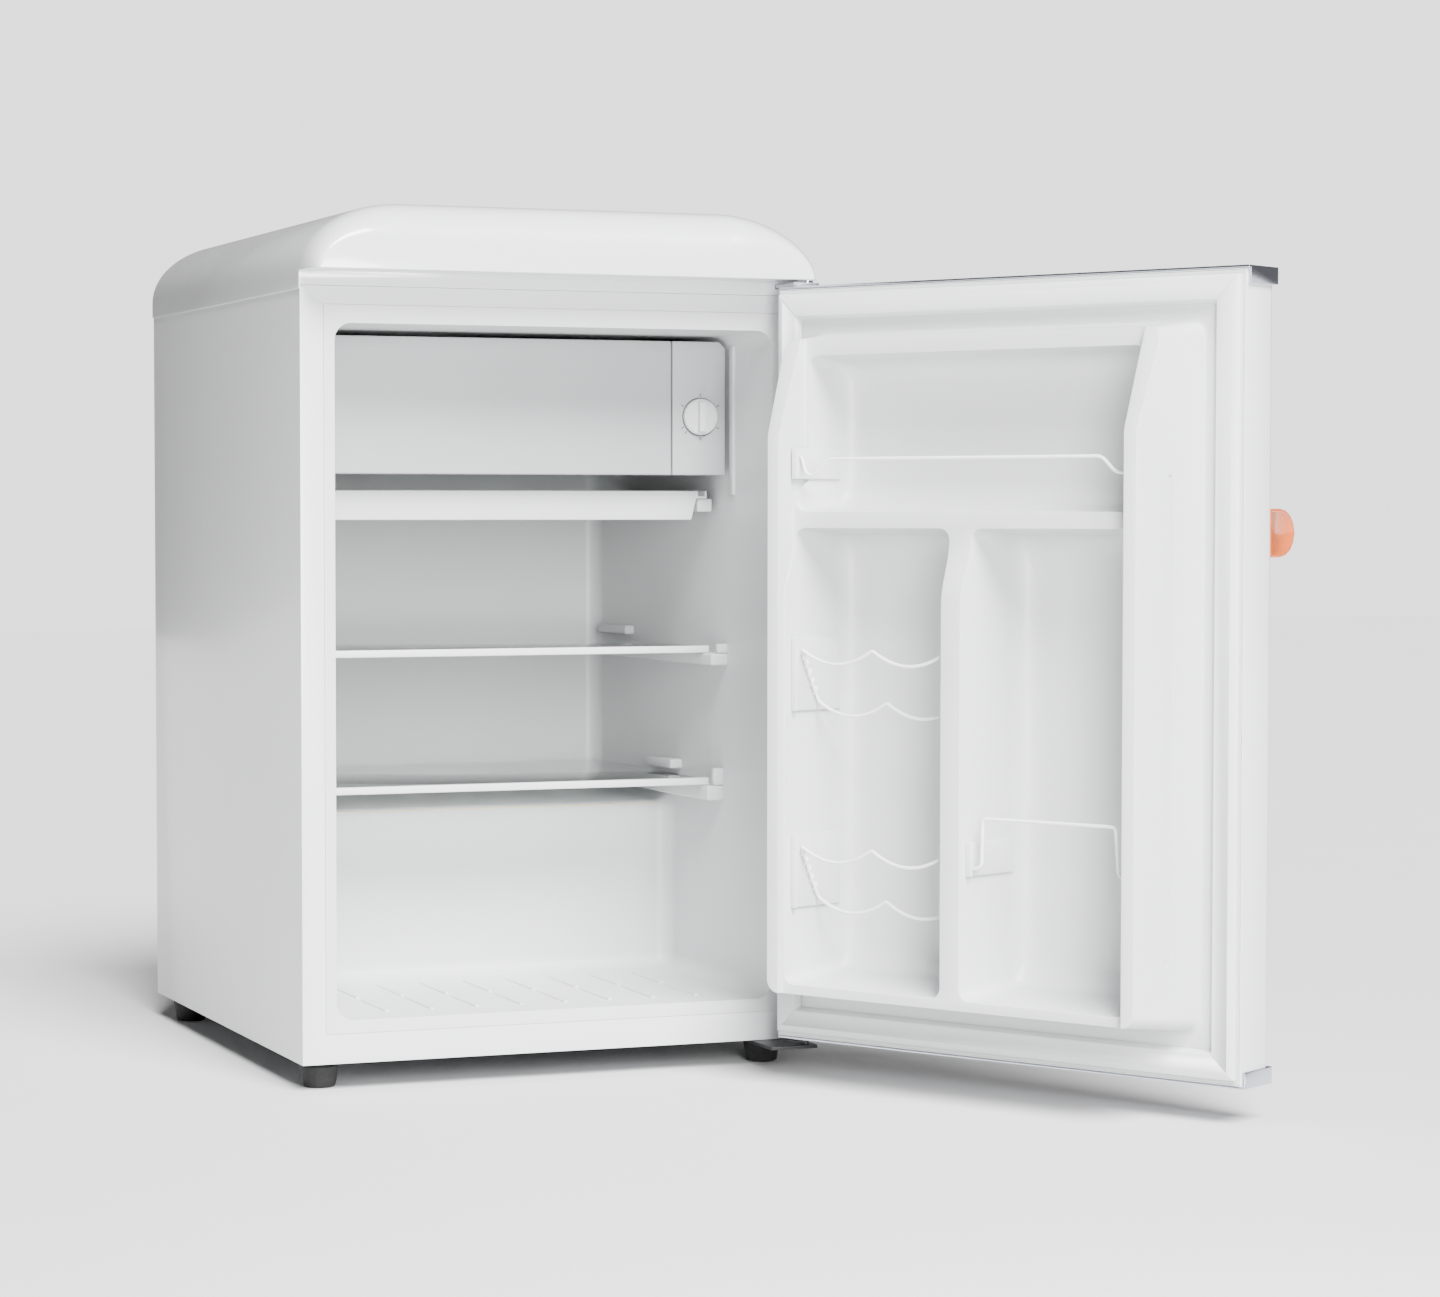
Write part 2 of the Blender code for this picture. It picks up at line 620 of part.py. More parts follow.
def make_hinges(root):
    """Steel hinge plates above and below the door. The lower one carries its own pin."""
    x0, x1 = hinge_plate_span()
    axis = (HINGE_X, HINGE_Y)
    front = HINGE_Y - PLATE_FRONT
    seat = (28 * MM, 40 * MM)
    head = TOP_PLATE + HINGE_PLATE
    fold = [(front, TOP_PLATE), (seat[0], TOP_PLATE), (seat[0], CABINET_HEIGHT + GAP),
            (seat[1], CABINET_HEIGHT + GAP), (seat[1], head), (front, head)]
    top = add("hinge_plate_top", prism(fold, "x", x0, x1), "galvanised_steel", root)
    cut(top, rod(HINGE_PIN + GAP, axis, 0, CAP_TOP))
    flange = HINGE_PIN + 2 * MM
    profile = [(HINGE_PIN, PANEL_TOP - BUSH_LENGTH + MM), (HINGE_PIN, head + GAP),
               (flange, head + GAP), (flange, head + GAP + 2 * MM)]
    add("hinge_pin_top", turned(profile, axis), "chrome", root)
    low = -GAP - HINGE_PLATE
    plate = box((x0 - 20 * MM, front, low), (x1, 60 * MM, -GAP))
    plate = add("hinge_plate_bottom", plate, "black_enamel", root)
    join(plate, rod(HINGE_PIN, axis, low + MM, PANEL_BOTTOM + BUSH_LENGTH - MM))
    cut(plate, rod(STUD_RADIUS + GAP, foot_places()[1], -FAR, FAR, sides=12))


def foot_places():
    """Front left, front right, rear left, rear right."""
    x = HALF - FOOT_INSET[0]
    return [(-x, FOOT_INSET[1]), (x, FOOT_INSET[1]),
            (-x, CABINET_DEPTH - FOOT_INSET[1]), (x, CABINET_DEPTH - FOOT_INSET[1])]


def make_feet(root):
    """Rubber feet on threaded studs. The front two turn."""
    names = ("foot_front_left", "foot_front_right", "foot_rear_left", "foot_rear_right")
    floor = -FOOT_HEIGHT
    top = floor + FOOT_BLOCK
    for name, (x, y) in zip(names, foot_places()):
        turns = "front" in name
        profile = [(FOOT_NARROW - FOOT_CHAMFER, floor), (FOOT_NARROW, floor + FOOT_CHAMFER),
                   (FOOT_RADIUS, top - FOOT_CHAMFER), (FOOT_RADIUS - FOOT_CHAMFER, top),
                   (STUD_RADIUS, top), (STUD_RADIUS, STUD_LENGTH if turns else -GAP)]
        parent = empty(name + "_axis", (x, y, floor), root) if turns else root
        add(name, turned(profile, (x, y), sides=24), "black_rubber", parent)


# ============================================================ freezer, thermostat, tray and shelves

def make_freezer(root):
    """Aluminium ice box, its plastic front frame with two hinge lugs, and the flap that shuts it."""
    left = -FLAP_HINGE - FLAP_HEEL
    frame_y = FREEZER_FRONT + FLAP_THICK + 2.5 * MM
    near = frame_y + FREEZER_FRAME + GAP
    far = near + FREEZER_DEPTH
    inset = 2 * MM
    low = FLAP_BOTTOM + 3 * MM
    high = FLAP_TOP - 4 * MM
    shell = box((left + inset, near, low), (FLAP_RIGHT - inset, far, high))
    shell = add("evaporator_box", shell, "aluminium", root)
    wall = FREEZER_SHEET + inset
    cut(shell, box((left + wall, -FAR, low + FREEZER_SHEET),
                   (FLAP_RIGHT - wall, far - FREEZER_SHEET, high - FREEZER_SHEET)))

    frame = box((left, frame_y, FLAP_BOTTOM), (FLAP_RIGHT, frame_y + FREEZER_FRAME, FLAP_TOP))
    frame = add("freezer_frame", frame, "white_plastic", root)
    cut(frame, box((left + 2 * wall, -FAR, low + 3 * MM), (FLAP_RIGHT - 2 * wall, FAR, high - 3 * MM)))
    axis = (-FLAP_HINGE, FREEZER_FRONT + FLAP_THICK / 2)
    for z in (FLAP_BOTTOM - GAP - FREEZER_LUG, FLAP_TOP + GAP):
        add_lug(frame, axis, frame_y, z)

    hinge = empty("freezer_flap_axis", (*axis, FLAP_BOTTOM), root)
    outline = rounded(left, FLAP_RIGHT, FREEZER_FRONT, FREEZER_FRONT + FLAP_THICK, 2 * MM)
    flap = add("freezer_flap", prism(outline, "z", FLAP_BOTTOM, FLAP_TOP), "white_plastic", hinge)
    join(flap, rod(FLAP_PIN, axis, FLAP_BOTTOM - FREEZER_LUG, FLAP_TOP + FREEZER_LUG, sides=12))


def add_lug(frame, axis, frame_y, z):
    """A lug that reaches forward over or under the flap and holds one of its pins."""
    x0 = axis[0] - FREEZER_LUG
    x1 = axis[0] + 2 * FREEZER_LUG
    neck = sorted((z, z + (2 * FREEZER_LUG if z < FLAP_TOP else -FREEZER_LUG)))
    inset = 0.5 * MM
    join(frame, box((x0, frame_y + inset, neck[0]), (x1, frame_y + FREEZER_FRAME - inset, neck[1])))
    join(frame, box((x0, FREEZER_FRONT, z), (x1, frame_y + 2 * inset, z + FREEZER_LUG)))
    cut(frame, rod(FLAP_PIN + GAP, axis, z - MM, z + FREEZER_LUG + MM, sides=12))


def make_thermostat(root):
    """Control housing right of the flap, the thermostat inside it and its knob."""
    left = FLAP_RIGHT + MM
    back = FREEZER_FRONT + THERMOSTAT_DEPTH

    def outline(inset):
        x0, x1 = left + inset, PANEL_RIGHT - inset
        z0, z1 = FLAP_BOTTOM + inset, FLAP_TOP - inset
        corner = HOUSING_CORNER - inset / 2
        return [(x0, z0), (x1, z0), (x1, z1 - corner), (x1 - corner, z1), (x0, z1)]

    housing = add("thermostat_housing", prism(outline(0), "y", FREEZER_FRONT, back), "white_plastic", root)
    cut(housing, prism(outline(WALL), "y", FREEZER_FRONT + WALL, back + WALL))
    centre = (KNOB_X, KNOB_Z)
    cut(housing, rod(SHAFT_RADIUS + GAP, centre, 0, FREEZER_FRONT + 2 * WALL, "y"))
    half, deep, tall = 16 * MM, 42 * MM, 48 * MM
    front = FREEZER_FRONT + WALL + 4 * MM
    body = box((KNOB_X - half, front, KNOB_Z - tall / 2), (KNOB_X + half, front + deep, KNOB_Z + tall / 2))
    body = add("thermostat_body", body, "galvanised_steel", root)
    join(body, rod(SHAFT_RADIUS, centre, FREEZER_FRONT - 5 * MM, front + MM, "y"))

    axis = empty("thermostat_knob_axis", (KNOB_X, FREEZER_FRONT, KNOB_Z), root)
    face = FREEZER_FRONT - GAP
    disc = [(KNOB_RADIUS, face), (KNOB_RADIUS, face - KNOB_DISC + MM), (KNOB_RADIUS - MM, face - KNOB_DISC)]
    knob = add("thermostat_knob", turned(disc, centre, "y", 32), "white_plastic", axis)
    reach = KNOB_RADIUS - MM
    grip = rounded(KNOB_X - 3.5 * MM, KNOB_X + 3.5 * MM, KNOB_Z - reach, KNOB_Z + reach, 3 * MM)
    join(knob, prism(grip, "y", face - KNOB_HEIGHT, face - KNOB_DISC + MM))
    cut(knob, rod(SHAFT_RADIUS + GAP, centre, face - 5.5 * MM, face + MM, "y"))


def make_tray(root):
    """Drip tray under the freezer. Its side lips slide on two rails fixed to the liner."""
    low = TRAY_TOP - TRAY_HEIGHT
    lip = TRAY_TOP - TRAY_LIP
    slider = empty("drip_tray_axis", (0, TRAY_FRONT, low), root)
    bottom, top = TRAY_BODY
    outline = [(-bottom, low), (bottom, low), (top, lip), (TRAY_HALF, lip), (TRAY_HALF, TRAY_TOP),
               (-TRAY_HALF, TRAY_TOP), (-TRAY_HALF, lip), (-top, lip)]
    far = TRAY_FRONT + TRAY_DEPTH
    tray = add("drip_tray", prism(outline, "y", TRAY_FRONT, far), "white_plastic", slider)
    pocket = [(-bottom + WALL, low + WALL), (bottom - WALL, low + WALL), (top - WALL, FAR), (-top + WALL, FAR)]
    cut(tray, prism(pocket, "y", TRAY_FRONT + WALL, far - WALL))
    for side in (-1, 1):
        edges = sorted((side * (top + WALL), side * (TRAY_HALF - WALL)))
        cut(tray, box((edges[0], 0, lip + WALL), (edges[1], FAR, FAR)))
        name = "tray_rail_left" if side < 0 else "tray_rail_right"
        edges = sorted((side * RAIL_INNER, side * cabinet_half(far, -GAP)))
        rail = box((edges[0], TRAY_FRONT + 4 * MM, lip - GAP - RAIL_HEIGHT),
                   (edges[1], far - 3 * MM, lip - GAP))
        add(name, rail, "white_plastic", root)


def make_shelves(root):
    """Two sliding glass shelves, each with a plastic strip along its front edge."""
    for height, middle in SHELF_HEIGHTS.items():
        slider = empty(height + "_shelf_axis", (0, SHELF_FRONT, middle), root)
        front = SHELF_FRONT + MM
        low, high = middle - GLASS / 2, middle + GLASS / 2
        pane = box((-SHELF_HALF, front + GAP, low), (SHELF_HALF, SHELF_BACK, high))
        add(height + "_shelf_glass", pane, "clear_glass", slider)
        half = EDGE_HEIGHT / 2
        outline = rounded(SHELF_FRONT, SHELF_FRONT + EDGE_DEPTH, middle - half, middle + half, 0.8 * MM)
        strip = prism(outline, "x", -SHELF_HALF, SHELF_HALF)
        edge = add(height + "_shelf_edge", strip, "white_plastic", slider)
        cut(edge, box((-FAR, front, low - GAP), (FAR, FAR, high + GAP)))


# ============================================================ machine room and condenser

def make_compressor(root):
    """Mounting plate on four rubber feet, the welded shell, its relay cover and the evaporation pan."""
    cx, cy = COMPRESSOR_AT
    wide, deep, tall = COMPRESSOR_SIZE
    sole = ROOM_FLOOR + MOUNT_HEIGHT
    plate = box((cx - wide / 2, cy - deep / 2, sole), (cx + wide / 2, cy + deep / 2, sole + MOUNT_SHEET))
    mount = add("compressor_mount", plate, "black_rubber", root)
    inset = 12 * MM
    for a, b in ((-1, -1), (1, -1), (-1, 1), (1, 1)):
        spot = (cx + a * (wide / 2 - inset), cy + b * (deep / 2 - inset))
        join(mount, rod(8 * MM, spot, ROOM_FLOOR, sole + MM, sides=12))
    base = COMPRESSOR_BASE
    turns = [math.tau * i / 20 for i in range(20)]
    loops = []
    for share, height in ((0.72, 0), (0.94, 0.10), (1, 0.22), (1, 0.62), (0.93, 0.82), (0.70, 0.95), (0.40, 1)):
        wx, wy = share * wide * COMPRESSOR_GIRTH, share * deep * COMPRESSOR_GIRTH
        z = base + height * tall
        loops.append([(cx + wx * math.cos(t), cy + wy * math.sin(t), z) for t in turns])
    add("compressor", loft(loops), "black_enamel", root)
    side = cx - wide * COMPRESSOR_GIRTH - 2 * GAP
    cover = box((side - 30 * MM, cy - 24 * MM, base + 24 * MM), (side, cy + 24 * MM, base + 84 * MM))
    add("relay_cover", cover, "black_rubber", root)
    top = base + tall + GAP
    x, y, height = PAN
    pan = box((cx - x, cy - y, top), (cx + x, cy + y, top + height))
    pan = add("evaporation_pan", pan, "black_rubber", root)
    cut(pan, box((cx - x + WALL, cy - y + WALL, top + WALL), (cx + x - WALL, cy + y - WALL, FAR)))


def make_pipes(root):
    """Suction and discharge pipes, condenser, drier and capillary. Each stops just short of what it joins."""
    cx, cy = COMPRESSOR_AT
    wide, deep, tall = COMPRESSOR_SIZE
    dx, dy = DRIER_AT
    hole_x, hole_y = PIPE_HOLE
    high = COMPRESSOR_BASE + 0.9 * tall
    middle = COMPRESSOR_BASE + 0.5 * tall
    suction = [(cx, cy + deep * COMPRESSOR_GIRTH + 2 * GAP, middle), (cx, hole_y, middle), (cx, hole_y, high),
               (hole_x, hole_y, high), (hole_x, hole_y, MACHINE_TOP - 1.5 * MM)]
    tube("suction_pipe", bent(suction, 14 * MM), PIPE, "copper_tube", root)

    offset = 0.3                    # the discharge leaves the shell this share of its width off the middle
    outlet_y = cy + deep * COMPRESSOR_GIRTH * math.sqrt(1 - (offset / COMPRESSOR_GIRTH) ** 2) + PIPE
    outlet_z = COMPRESSOR_BASE + 0.35 * tall
    riser = COIL_HALF - 2 * PIPE
    joint = COIL_BOTTOM - 20 * MM
    discharge = [(cx + offset * wide, outlet_y, outlet_z), (cx + offset * wide, COIL_Y, outlet_z),
                 (riser, COIL_Y, outlet_z), (riser, COIL_Y, joint)]
    tube("discharge_pipe", bent(discharge, 14 * MM), PIPE, "copper_tube", root)
    tube("condenser_coil", coil_route(riser, joint + GAP), PIPE, "black_enamel", root)

    end = DRIER_LOW + DRIER_LENGTH
    drier = [(PIPE + MM, DRIER_LOW), (DRIER_RADIUS, DRIER_LOW + 8 * MM),
             (DRIER_RADIUS, end - 8 * MM), (PIPE, end)]
    add("filter_drier", turned(drier, DRIER_AT, sides=16), "copper_tube", root)
    loft_z = MACHINE_TOP - 25 * MM
    across = hole_y - 30 * MM
    capillary = [(dx, dy, end + GAP), (dx, dy, loft_z), (dx, across, loft_z),
                 (hole_x - 14 * MM, across, loft_z)]
    tube("capillary_pipe", bent(capillary, 10 * MM), PIPE / 2, "copper_tube", root)


def coil_route(riser, start):
    """Up to the coil, to and fro, back down beside it and in to the drier from below."""
    route = [(riser, COIL_Y, start), (riser, COIL_Y, COIL_BOTTOM)]
    for run in range(COIL_RUNS):
        z = COIL_BOTTOM + run * COIL_PITCH
        side = -COIL_HALF if run % 2 == 0 else COIL_HALF
        if run > 0:
            route.append((-side, COIL_Y, z))
        if run < COIL_RUNS - 1:
            route.append((side, COIL_Y, z))
    beside = -COIL_HALF - COIL_RETURN
    below = DRIER_LOW - 14 * MM
    dx, dy = DRIER_AT
    route += [(beside, COIL_Y, COIL_TOP), (beside, COIL_Y, below), (dx, COIL_Y, below),
              (dx, dy, below), (dx, dy, DRIER_LOW - GAP)]
    return bent(route, COIL_PITCH * 0.45, steps=4)


def make_condenser_strips(root):
    """Two upright steel strips that hold the condenser off the back panel."""
    y = COIL_Y + PIPE + GAP
    back = CABINET_DEPTH + GAP
    low = COIL_BOTTOM - STRIP_WIDTH
    high = COIL_TOP + STRIP_WIDTH
    for side, name in ((-1, "condenser_strip_left"), (1, "condenser_strip_right")):
        x = side * COIL_HALF * 0.62
        fold = [(y + STRIP_SHEET, low), (y + STRIP_SHEET, high), (back, high), (back, high - STRIP_SHEET),
                (y, high - STRIP_SHEET), (y, low + STRIP_SHEET), (back, low + STRIP_SHEET), (back, low)]
        add(name, prism(fold, "x", x - STRIP_WIDTH / 2, x + STRIP_WIDTH / 2), "black_enamel", root)


def make_gland(root):
    """The grip through which a mains lead enters; the lead itself is not part of the model."""
    wide, deep, tall = GLAND_SIZE
    x, y = -COIL_HALF, CABINET_DEPTH - deep - MM
    block = box((x - wide / 2, y, ROOM_FLOOR), (x + wide / 2, y + deep, ROOM_FLOOR + tall))
    gland = add("mains_gland", block, "black_rubber", root)
    cut(gland, rod(GLAND_BORE, (x, ROOM_FLOOR + tall * 0.55), 0, FAR, "y"))


# ============================================================ door

def pockets(grow, back):
    """The three door compartments, with their walls moved out by grow. An edge is (place, ridge height)."""
    def lean(edge, v):
        return INNER_DRAFT * (v + edge[1]) - grow

    def pocket(left, right, low, high):
        sections = []
        for v in (-DYKE_HEIGHT - 6 * MM, back):
            sections.append((v, (left[0] + lean(left, v), right[0] - lean(right, v)),
                             (low[0] + lean(low, v), high[0] - lean(high, v))))
        return door_loft(sections, POCKET_RADIUS)

    left = (RELIEF_SIDES[0] + DYKE_INNER, DYKE_HEIGHT)
    right = (RELIEF_SIDES[1] - DYKE_INNER, DYKE_HEIGHT)
    kerb = (KERB_TOP, DIVIDER_HEIGHT)
    under_bar = (BAR[0], BAR_HEIGHT)
    return [pocket(left, right, (BAR[1], BAR_HEIGHT), (HEAD_BOTTOM, HEAD_HEIGHT)),
            pocket(left, (DIVIDER[0], DIVIDER_HEIGHT), kerb, under_bar),
            pocket((DIVIDER[1], DIVIDER_HEIGHT), right, kerb, under_bar)]


def ridge_cut(grow):
    """Everything in front of the divider, shelf and head, between the two dykes."""
    front = -DYKE_HEIGHT - 8 * MM
    divider = -DIVIDER_HEIGHT + grow
    bar = -BAR_HEIGHT + grow
    head = -HEAD_HEIGHT + grow
    bend_low, bend_high = DIVIDER_BEND
    outline = [(front, 0), (divider, 0), (divider, bend_low)]
    steps = 4
    for i in range(1, steps + 1):
        t = i / steps
        ease = t * t * (3 - 2 * t)
        outline.append((divider + (bar - divider) * ease, bend_low + (bend_high - bend_low) * t))
    outline += [(bar, BAR[1] + 12 * MM), (head, BAR[1] + 30 * MM), (head, DOOR_TOP), (front, DOOR_TOP)]
    outline = [(door_y(v), z) for v, z in outline]
    inner = DYKE_INNER - grow
    return prism(outline, "x", door_x(RELIEF_SIDES[1] - inner), door_x(RELIEF_SIDES[0] + inner))


def slant_cut(grow):
    """Slopes the tops of the dykes back towards the door."""
    front = -DYKE_HEIGHT - 8 * MM
    start, end = DYKE_SLANT
    rise = (DYKE_HEIGHT - DYKE_SLANT_END) / (end - start)
    shift = grow * math.sqrt(1 + rise * rise)
    over = 20 * MM
    outline = [(front, start - (-DYKE_HEIGHT - front) / rise),
               (-DYKE_SLANT_END + rise * over, end + over), (front, end + over)]
    outline = [(door_y(v + shift), z) for v, z in outline]
    return prism(outline, "x", door_x(DOOR_WIDTH), door_x(0))


def relief(name, grow, back, pocket_back, parent):
    """Raised part of the door liner as a solid, with its walls moved in by grow."""
    sections = []
    for v in (-DYKE_HEIGHT + grow, 0, back):
        lean = OUTER_DRAFT * -min(v, 0) + grow
        rise = END_DRAFT * -min(v, 0) + grow
        sections.append((v, (RELIEF_SIDES[0] + lean, RELIEF_SIDES[1] - lean),
                         (RELIEF_ENDS[0] + rise, RELIEF_ENDS[1] - rise)))
    body = add(name, door_loft(sections, RELIEF_RADIUS), "white_plastic", parent)
    cut(body, ridge_cut(grow), slant_cut(grow), *pockets(grow, pocket_back))
    return hidden(body)


def make_door_liner(door):
    """Formed plastic inner face of the door: a flange all round and the raised part with its pockets."""
    back = POCKET_BACK + WALL
    side = SHEET + GAP
    plate = door_box((side, DOOR_WIDTH - side), (0, WALL), (PANEL_BOTTOM + side, PANEL_TOP - side))
    liner = add("door_liner", plate, "white_plastic", door)
    inner = [(RELIEF_SIDES[0] + MM, RELIEF_SIDES[1] - MM), (RELIEF_ENDS[0] + MM, RELIEF_ENDS[1] - MM)]
    cut(liner, door_loft([(-WALL, *inner), (2 * WALL, *inner)], RELIEF_RADIUS))
    join(liner, relief("relief_outside", 0, back, POCKET_BACK, door))
    cut(liner, relief("relief_inside", WALL, back + MM, back + 4 * MM, door))


def make_door_foam(door):
    """Foam that fills the door between its panel and its liner, out into the hollow dykes."""
    skin = WALL + GAP
    back = POCKET_BACK + WALL + GAP
    ends = (PANEL_BOTTOM + SHEET + GAP, PANEL_TOP - SHEET - GAP)
    slab = prism(door_outline(SHEET + GAP, door_y(skin)), "z", *ends)
    foam = add("door_foam", slab, "foam", door, smooth=False)
    cut(foam, door_box((RELIEF_SIDES[0] - GAP, RELIEF_SIDES[1] + GAP), (0, back),
                       (RELIEF_ENDS[0] - GAP, RELIEF_ENDS[1] + GAP)))
    join(foam, relief("relief_foam", skin, back + MM, back + 6 * MM, door))
    for z in ends:
        reach = BUSH_LENGTH + MM
        cut(foam, rod(BUSH_RADIUS + GAP, (HINGE_X, HINGE_Y), z - reach, z + reach, sides=16))


def door_outline(inset, back):
    """Plan of the door with rounded outer edges, moved in by inset, reaching back to a place on y."""
    x0, x1 = door_x(DOOR_WIDTH) + inset, door_x(0) - inset
    near = door_y(DOOR_THICK) + inset
    radius = DOOR_EDGE_RADIUS - inset
    points = [(x1, back), (x0, back)]
    for cx, start in ((x0 + radius, 180), (x1 - radius, 270)):
        for i in range(4):
            turn = math.radians(start + 30 * i)
            points.append((cx + radius * math.cos(turn), near + radius + radius * math.sin(turn)))
    return points


def make_door_panel(door):
    """Steel skin over the outer face, both edges and the ends; open on its inner side."""
    skin = prism(door_outline(0, door_y(0)), "z", PANEL_BOTTOM, PANEL_TOP)
    panel = add("door_panel", skin, "white_enamel", door)
    cut(panel, prism(door_outline(SHEET, door_y(-SHEET)), "z", PANEL_BOTTOM + SHEET, PANEL_TOP - SHEET))
    for z in (PANEL_BOTTOM, PANEL_TOP):
        cut(panel, rod(BUSH_RADIUS + GAP, (HINGE_X, HINGE_Y), z - 4 * MM, z + 4 * MM, sides=16))


def make_gasket(door):
    """Magnetic gasket between the door and the cabinet's border, its outer lip sloped away from the border."""
    faces = (-DOOR_GAP + GAP, -GAP)
    u = (GASKET_EDGE, DOOR_WIDTH - GASKET_EDGE)
    z = (PANEL_BOTTOM + GASKET_END, PANEL_TOP - GASKET_END)
    lip = GASKET_LIP
    outer = [(faces[0], (u[0] + lip, u[1] - lip), (z[0] + lip, z[1] - lip)),
             (faces[0] + GASKET_RELIEF, u, z), (faces[1], u, z)]
    ring = add("door_gasket", door_loft(outer, MM), "white_rubber", door)
    sections = []
    for v, inset in ((faces[0] - MM, GASKET_WIDTH - GASKET_SLOPE), (faces[1] + MM, GASKET_WIDTH)):
        sections.append((v, (u[0] + inset, u[1] - inset), (z[0] + inset, z[1] - inset)))
    cut(ring, door_loft(sections, 2 * MM))


def make_door_trims(door):
    """Chromed channels over the door's top and bottom, and the nylon bushes that run on the hinge pins."""
    axis = (HINGE_X, HINGE_Y)
    u = (0, DOOR_WIDTH + 2 * TRIM_PROUD)
    v = (0, DOOR_THICK + TRIM_PROUD)
    for end, face, way in (("top", DOOR_TOP, -1), ("bottom", DOOR_BOTTOM, 1)):
        plate = sorted((face, face + way * TRIM_SHEET))
        trim = add("door_trim_" + end, door_box(u, (-0.5 * MM, v[1]), plate), "chrome", door)
        skirt = sorted((face + way * MM, face + way * TRIM_OUTER))
        join(trim, door_box(u, (DOOR_THICK + GAP, v[1]), skirt))
        join(trim, door_box((DOOR_WIDTH + GAP, u[1]), (3 * MM, v[1]), skirt))
        cut(trim, rod(HINGE_PIN + 2 * GAP, axis, face - 8 * MM, face + 8 * MM, sides=16))
        near = face + way * (TRIM_SHEET + GAP)
        far = near + way * BUSH_LENGTH
        bush = add("hinge_bush_" + end, rod(BUSH_RADIUS, axis, near, far, sides=16), "white_plastic", door)
        cut(bush, rod(HINGE_PIN + GAP, axis, near - way * MM, far + way * MM))


def make_handle(door):
    """Copper coloured bar handle with a finger gap behind it."""
    half = HANDLE_HEIGHT / 2
    base = DOOR_THICK + GAP
    steps = 8
    outline = [(base, -half), (base, half)]
    for i in range(steps + 1):
        turn = math.radians(90 - 180 * i / steps)
        bulge = (HANDLE_PROUD - HANDLE_FLAT) * math.cos(turn)
        outline.append((base + HANDLE_FLAT + bulge, half * math.sin(turn)))
    outline = [(door_y(v), HANDLE_Z + z) for v, z in outline]
    u = (DOOR_WIDTH - HANDLE_END - HANDLE_LENGTH, DOOR_WIDTH - HANDLE_END)
    handle = add("door_handle", prism(outline, "x", door_x(u[1]), door_x(u[0])), "copper_gloss", door)
    z = (HANDLE_Z - HANDLE_HEIGHT, HANDLE_Z + HANDLE_HEIGHT)
    sections = []
    for v, inset in ((base - MM, HANDLE_POST), (base + HANDLE_PROUD - HANDLE_GRIP, HANDLE_POST + 4 * MM)):
        sections.append((v, (u[0] + inset, u[1] - inset), z))
    cut(handle, door_loft(sections, MM))


# ============================================================ wire racks

def wall_u(side, v):
    """u of a pocket's side wall at a depth; side names the wall."""
    return {
        "hinge": RELIEF_SIDES[0] + DYKE_INNER + INNER_DRAFT * (v + DYKE_HEIGHT),
        "free": RELIEF_SIDES[1] - DYKE_INNER - INNER_DRAFT * (v + DYKE_HEIGHT),
        "divider_hinge": DIVIDER[0] - INNER_DRAFT * (v + DIVIDER_HEIGHT),
        "divider_free": DIVIDER[1] + INNER_DRAFT * (v + DIVIDER_HEIGHT),
    }[side]


def clip(name, side, low, high, door):
    """Plastic plate on a pocket's side wall, with a lip at its front that holds a wire."""
    way = 1 if side in ("hinge", "divider_free") else -1
    near, far = -CLIP_FRONT, -CLIP_FRONT + CLIP_LENGTH

    def at(v, off):
        return (door_x(wall_u(side, v) + way * off), door_y(v))

    outline = [at(near, GAP), at(far, GAP), at(far, GAP + CLIP), at(near + CLIP, GAP + CLIP),
               at(near + CLIP, CLIP_LIP), at(near, CLIP_LIP)]
    add(name, prism(outline, "z", low, high), "white_plastic", door)


def door_point(u, v, z):
    return (door_x(u), door_y(v), z)


def make_top_guard(door):
    """Wire across the top compartment, dipping beside each of its clips."""
    z = TOP_GUARD_Z
    v = -RACK_FRONT
    for side, wall in (("left", "hinge"), ("right", "free")):
        clip("top_guard_clip_" + side, wall, z - 18 * MM, z + 9 * MM, door)
    start = wall_u("hinge", v) + WIRE_OFF
    end = wall_u("free", v) - WIRE_OFF
    half = [(0, 2.5 * MM), (5.5 * MM, -TOP_GUARD_DIP), (15 * MM, -TOP_GUARD_DIP), (29 * MM, 0)]
    route = [door_point(start + a, v, z + b) for a, b in half]
    route += [door_point(end - a, v, z + b) for a, b in reversed(half)]
    tube("top_guard_wire", bent(route, 4 * MM, steps=2), WIRE, "coated_wire", door)


def make_can_rack(name, z, door):
    """One endless wire with two scallops in front and two lower down behind."""
    for side, wall in (("left", "hinge"), ("right", "divider_hinge")):
        clip("%s_clip_%s" % (name, side), wall, z - RACK_DROP - 2.5 * MM, z + 16 * MM, door)
    spans = 12
    rows = []
    for v, lift in ((-RACK_FRONT, 6 * MM), (-RACK_BACK, 6 * MM - RACK_DROP)):
        start = wall_u("hinge", v) + WIRE_OFF + GAP
        end = wall_u("divider_hinge", v) - WIRE_OFF - GAP
        row = []
        for i in range(spans + 1):
            share = i / spans
            sag = RACK_SCALLOP * math.sin(math.tau * share) ** 2
            row.append(door_point(start + (end - start) * share, v, z + lift - sag))
        rows.append(row)
    tube(name, rows[0] + rows[1][::-1], WIRE, "coated_wire", door, cyclic=True)


